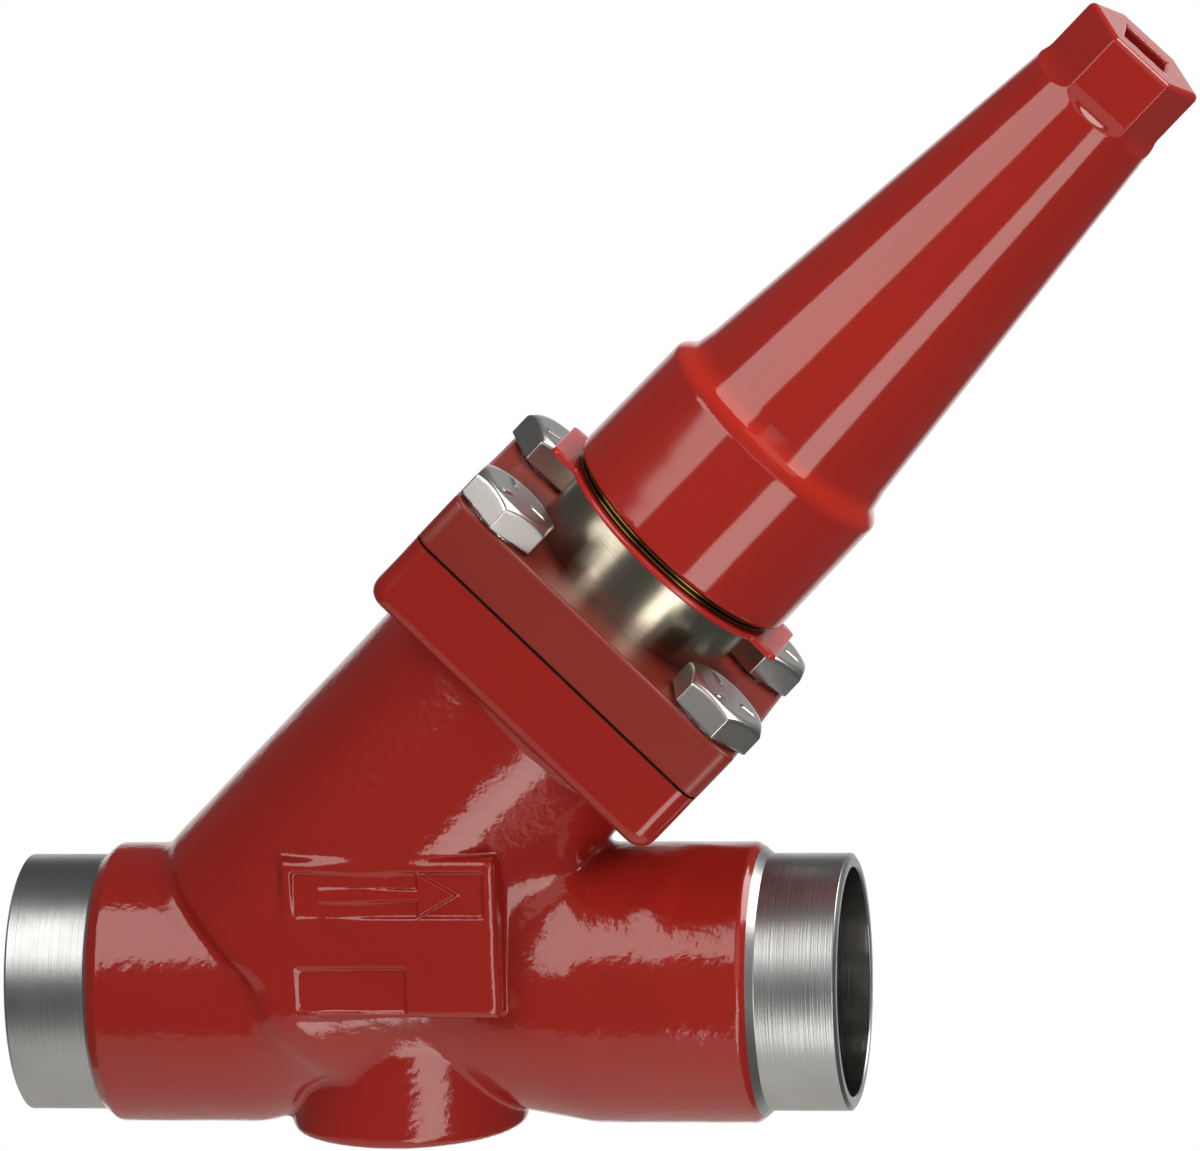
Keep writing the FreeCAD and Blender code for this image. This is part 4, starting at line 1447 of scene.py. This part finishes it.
@dataclass
class SealCap:
    """The long tapered cap with its rounded ridge, milled hexagon and square socket."""

    shop: Shop
    bottom: float = 120.906
    top: float = 247.606
    top_round: float = 1.2
    bottom_round: float = 1.0
    skirt_radius: float = 25.15
    ridge_radius: float = 24.8
    ridge: float = 147.006
    flare_radius: float = 22.6
    taper_low: float = 21.7
    taper_high: float = 13.75
    hex_half: float = 11.5
    hex_bottom: float = 232.806
    hex_turn: float = 35.8
    hex_round: float = 0.8
    run_out: float = 4.0
    socket_half: float = 4.85
    socket_depth: float = 11.0
    socket_corner: float = 0.5
    socket_round: float = 0.7
    seam: float = 226.0
    taper_cell: float = 0.8
    hex_cell: float = 0.42

    def outline(self) -> Array:
        """Outline of the cap's outside, from the skirt up.

        Returns:
            Rows of (height, radius).
        """
        return rounded_profile([
            (self.bottom - 5, self.skirt_radius), (self.bottom, self.skirt_radius),
            (self.ridge, self.ridge_radius, 0.9), (self.ridge + 2.2, self.flare_radius, 2.0),
            (self.ridge + 6.5, self.taper_low, 6.5), (self.hex_bottom, self.taper_high, 3.0),
            (self.top + 5, self.taper_high)])

    def distance(self, points: Array) -> Array:
        """Turned outside less six milled flats and the socket, in upright coordinates.

        Below the hexagon a flat runs out on the arc of the cutter, run_out - sqrt(run_out^2 - low^2).

        Args:
            points: Rows of (x, y, z).

        Returns:
            The distance at each point.
        """
        v, y, u = AXIS.upright(points).T
        radius, outline = np.hypot(v, y), self.outline()
        turned = radius - np.interp(u, outline[:, 0], outline[:, 1])
        low = np.clip(self.hex_bottom + self.run_out - u, 0.0, None)
        lift = self.run_out - np.sqrt(np.maximum(self.run_out ** 2 - low ** 2, 0.0))
        lift = lift + np.clip(low - self.run_out, 0.0, None) * 4
        sector = folded(np.arctan2(y, v) - math.radians(self.hex_turn), 6)
        whole = soft_max(turned, radius * np.cos(sector) - self.hex_half - lift, self.hex_round)
        whole = soft_max(soft_max(whole, u - self.top, self.top_round), self.bottom - u, self.bottom_round)
        turn = math.radians(self.hex_turn - 30)
        one = np.abs(v * math.cos(turn) + y * math.sin(turn)) - self.socket_half
        other = np.abs(y * math.cos(turn) - v * math.sin(turn)) - self.socket_half
        socket = np.maximum(soft_max(one, other, self.socket_corner), self.top - self.socket_depth - u)
        return soft_max(whole, -socket, self.socket_round)

    def hollow(self, corners: Array) -> Array:
        """Says which CAD faces, given as rows of three corners, lie well inside the cap's outside."""
        return self.distance(corners.mean(1)) < -0.9

    def build(self) -> None:
        """Nets the outside, coarsely below the seam and finely round the hexagon, and copies the hollow."""
        seam, way = AXIS.point(self.seam), AXIS.way()
        for name, start, end, reach, cell, normal, replaces in (
                ("cap_taper", self.bottom, self.seam, 27.0, self.taper_cell, way, ("cap",)),
                ("cap_hexagon", self.seam, self.top, 15.5, self.hex_cell, -way, ())):
            box = AXIS.box(reach, start - 2, end + 2, reach)
            mesh = netted_mesh(name, self.distance, box, cell, (Cut(seam, normal),))
            self.shop.add_piece(mesh, "seal_cap", "red_cap_paint", Look.CAP_PAINT, replaces)
        mesh = kept_faces("cap_inside", "cap", self.hollow)
        self.shop.add_piece(mesh, "seal_cap", "red_cap_paint", Look.PASSAGE)


# The CAD nodes that stay, inside the bonnet and the body, by their finish.
INNER_LOOKS = {
    Look.FIBRE: ("bonnet_gasket",),
    Look.GROUND_STEEL: ("packing_washer", "spindle", "cone_lock_ring", "disc_springs", "thrust_washer"),
    Look.GRAPHITE: ("packing_rings",),
    Look.NECK_STEEL: ("packing_gland", "cone", "seal_clamp_disc"),
    Look.RUBBER: ("gland_o_ring", "spindle_o_ring", "stem_wiper"),
    Look.SEAL_PLASTIC: ("cone_seal_ring",),
    Look.ZINC: ("clamp_screw",),
}


def dress_inner_nodes(shop: Shop) -> None:
    """Gives the inner CAD nodes their finishes.

    Args:
        shop: Makes the finishes.
    """
    for look, names in INNER_LOOKS.items():
        for name in names:
            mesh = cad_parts[name].data
            mesh.materials.clear()
            mesh.materials.append(shop.get(look))
            log.info("%s: %s", name, look.value.name)


# Studio


@dataclass(frozen=True)
class Softbox:
    """A rectangular light, whose lengths are shares of its distance from the valve.

    The way towards it is given from the valve, and it is then slid along its width and its length. A
    strength of 1 is white, and the turn is that of its length from level, in degrees.
    """

    name: str
    towards: tuple[float, float, float]
    size: tuple[float, float]
    strength: float
    slide: tuple[float, float] = (0.0, 0.0)
    away: float = 900.0
    turn: float = 48.0
    colour: str = "#FFF7F0"

    def hang(self, centre: Vector) -> None:
        """Hangs the light.

        Args:
            centre: Place that it shines at.
        """
        out = Vector(self.towards).normalized()
        level = Vector((-out.y, out.x, 0.0)).normalized()
        raised = out.cross(level)
        angle = math.radians(self.turn)
        long = level * math.cos(angle) + raised * math.sin(angle)
        wide = long.cross(out)
        data = bpy.data.lights.new(self.name, "AREA")
        data.shape = "RECTANGLE"
        data.size, data.size_y = self.size[0] * self.away * METRES, self.size[1] * self.away * METRES
        data.energy = self.strength * math.pi * data.size * data.size_y
        data.color = linear(self.colour)[:3]
        light = bpy.data.objects.new(self.name, data)
        place = (centre + (out + wide * self.slide[0] + long * self.slide[1]) * self.away) * METRES
        light.matrix_world = Matrix.Translation(place) @ Matrix((wide, long, out)).transposed().to_4x4()
        light.visible_camera = False
        bpy.context.scene.collection.objects.link(light)


@dataclass
class Studio:
    """Pale floor, white wall, four softboxes and a camera at the photograph's angle."""

    look_at: tuple[float, float, float] = (112.725, 0.0, 77.764)
    distance: float = 1800.0
    yaw: float = math.radians(10.364)
    pitch: float = math.radians(10.673)
    roll: float = math.radians(-2.318)
    focal_pixels: float = 9649.87
    image_width: float = 1200.0
    sensor: float = 36.0
    floor_height: float = -420.0
    floor_reach: tuple[float, float, float, float] = (-620.0, 330.0, -700.0, 700.0)
    floor_colour: str = "#F2F0EC"
    softboxes: tuple[Softbox, ...] = (
        # The broad band on the upper left of every round form.
        Softbox("left_softbox", (-0.45, -0.6, 0.66), (0.88, 0.70), 3.25, (0.02, 0.0)),
        # The narrow band low on the right, along the cap and under the neck.
        Softbox("right_softbox", (0.33, -0.80, -0.50), (0.40, 1.0), 3.6, (0.0, 0.1), away=480.0),
        # The rim of light along the cap's and the plate's upper edges.
        Softbox("top_softbox", (0.70, 0.24, 0.67), (0.7, 0.7), 6.5),
        # A faint fill from the front.
        Softbox("front_softbox", (0.55, -0.75, 0.35), (1.0, 1.0), 0.7))
    back_strength: float = 1.0
    back_edge: float = math.cos(math.radians(60.0))
    room_strength: float = 0.10
    wall_inner: float = math.cos(math.radians(20.0))
    wall_outer: float = math.cos(math.radians(34.0))

    def camera_axes(self) -> tuple[Vector, Vector, Vector]:
        """Axes of the camera, from yaw, pitch and roll.

        Returns:
            Its right, up and back.
        """
        back = Vector((math.sin(self.yaw) * math.cos(self.pitch), -math.cos(self.yaw) * math.cos(self.pitch),
                       math.sin(self.pitch)))
        level = Vector((math.cos(self.yaw), math.sin(self.yaw), 0.0))
        upright = back.cross(level)
        right = level * math.cos(self.roll) + upright * math.sin(self.roll)
        up = upright * math.cos(self.roll) - level * math.sin(self.roll)
        return right, up, back

    def build_camera(self) -> None:
        """Sets up the camera."""
        right, up, back = self.camera_axes()
        data = bpy.data.cameras.new("camera")
        data.sensor_width = self.sensor
        data.lens = self.focal_pixels * self.sensor / self.image_width
        data.clip_end = 100.0
        camera = bpy.data.objects.new("camera", data)
        place = (Vector(self.look_at) + back * self.distance) * METRES
        turn = Matrix((right, up, back)).transposed().to_4x4()
        camera.matrix_world = Matrix.Translation(place) @ turn
        bpy.context.scene.collection.objects.link(camera)
        bpy.context.scene.camera = camera

    def build_world(self) -> None:
        """Sets a plain world with a white wall behind the valve.

        The camera sees white all round. Shiny and clear surfaces see it in a cone about the view's fixed
        axis, with a soft edge, where the photograph's wall stood. Matt surfaces get the room's faint light
        and a wider glow from the wall, which lights the back of the valve.
        """
        world = bpy.data.worlds.new("studio")
        bpy.context.scene.world = world
        world.use_nodes = True
        tree = world.node_tree
        tree.nodes.clear()
        ray = add_node(tree, "ShaderNodeTexCoord")
        away = -self.camera_axes()[2]
        facing = add_node(tree, "ShaderNodeVectorMath", {0: ray.outputs["Generated"], 1: tuple(away)},
                          operation="DOT_PRODUCT")
        wall = add_node(tree, "ShaderNodeMapRange", {
            "Value": facing.outputs["Value"], "From Min": self.wall_outer, "From Max": self.wall_inner})
        path = add_node(tree, "ShaderNodeLightPath")
        shiny = add_node(tree, "ShaderNodeMath", {
            0: path.outputs["Is Glossy Ray"], 1: path.outputs["Is Transmission Ray"]}, operation="MAXIMUM")
        seen = add_node(tree, "ShaderNodeMath", {0: shiny.outputs[0], 1: wall.outputs[0]},
                        operation="MULTIPLY")
        backdrop = add_node(tree, "ShaderNodeMath", {
            0: path.outputs["Is Camera Ray"], 1: seen.outputs[0]}, operation="MAXIMUM")
        behind = add_node(tree, "ShaderNodeMapRange", {
            "Value": facing.outputs["Value"], "From Min": self.back_edge, "From Max": 1.0,
            "To Max": self.back_strength})
        glow = add_node(tree, "ShaderNodeMath", {
            0: behind.outputs[0], 1: path.outputs["Is Diffuse Ray"], 2: self.room_strength},
            operation="MULTIPLY_ADD")
        room = add_node(tree, "ShaderNodeBackground", {
            "Color": (1.0, 1.0, 1.0, 1.0), "Strength": glow.outputs[0]})
        white = add_node(tree, "ShaderNodeBackground", {"Color": (1.0, 1.0, 1.0, 1.0), "Strength": 1.0})
        mix = add_node(tree, "ShaderNodeMixShader", {
            0: backdrop.outputs[0], 1: room.outputs[0], 2: white.outputs[0]})
        add_node(tree, "ShaderNodeOutputWorld", {"Surface": mix.outputs[0]})

    def build_floor(self) -> None:
        """Lays a floor of pale paper, which takes the valve's shadow."""
        left, right, near, far = self.floor_reach
        corners = np.array([[left, near], [right, near], [right, far], [left, far]])
        vertices = np.column_stack([corners, np.full(4, self.floor_height)])
        mesh = mesh_from("floor", vertices, np.array([[0, 1, 2, 3]]))
        mesh.materials.append(Finish("matt white paper", self.floor_colour, 0.9).build())
        floor = bpy.data.objects.new("floor", mesh)
        bpy.context.scene.collection.objects.link(floor)

    def build(self) -> None:
        """Builds the studio and sets the plain view transform."""
        self.build_camera()
        for softbox in self.softboxes:
            softbox.hang(Vector(self.look_at))
        self.build_world()
        self.build_floor()
        bpy.context.scene.view_settings.view_transform = "Standard"


def main() -> None:
    """Builds the valve piece by piece, then the studio."""
    logging.basicConfig(level=logging.INFO, format="%(name)s: %(message)s")
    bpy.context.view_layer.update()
    shop = Shop()
    for part in (CastBody(shop), Bonnet(shop), RingAndSeal(shop), SealCap(shop)):
        part.build()
        log.info("%s is built", type(part).__name__)
    dress_inner_nodes(shop)
    Studio().build()


if __name__ == "__main__":
    main()
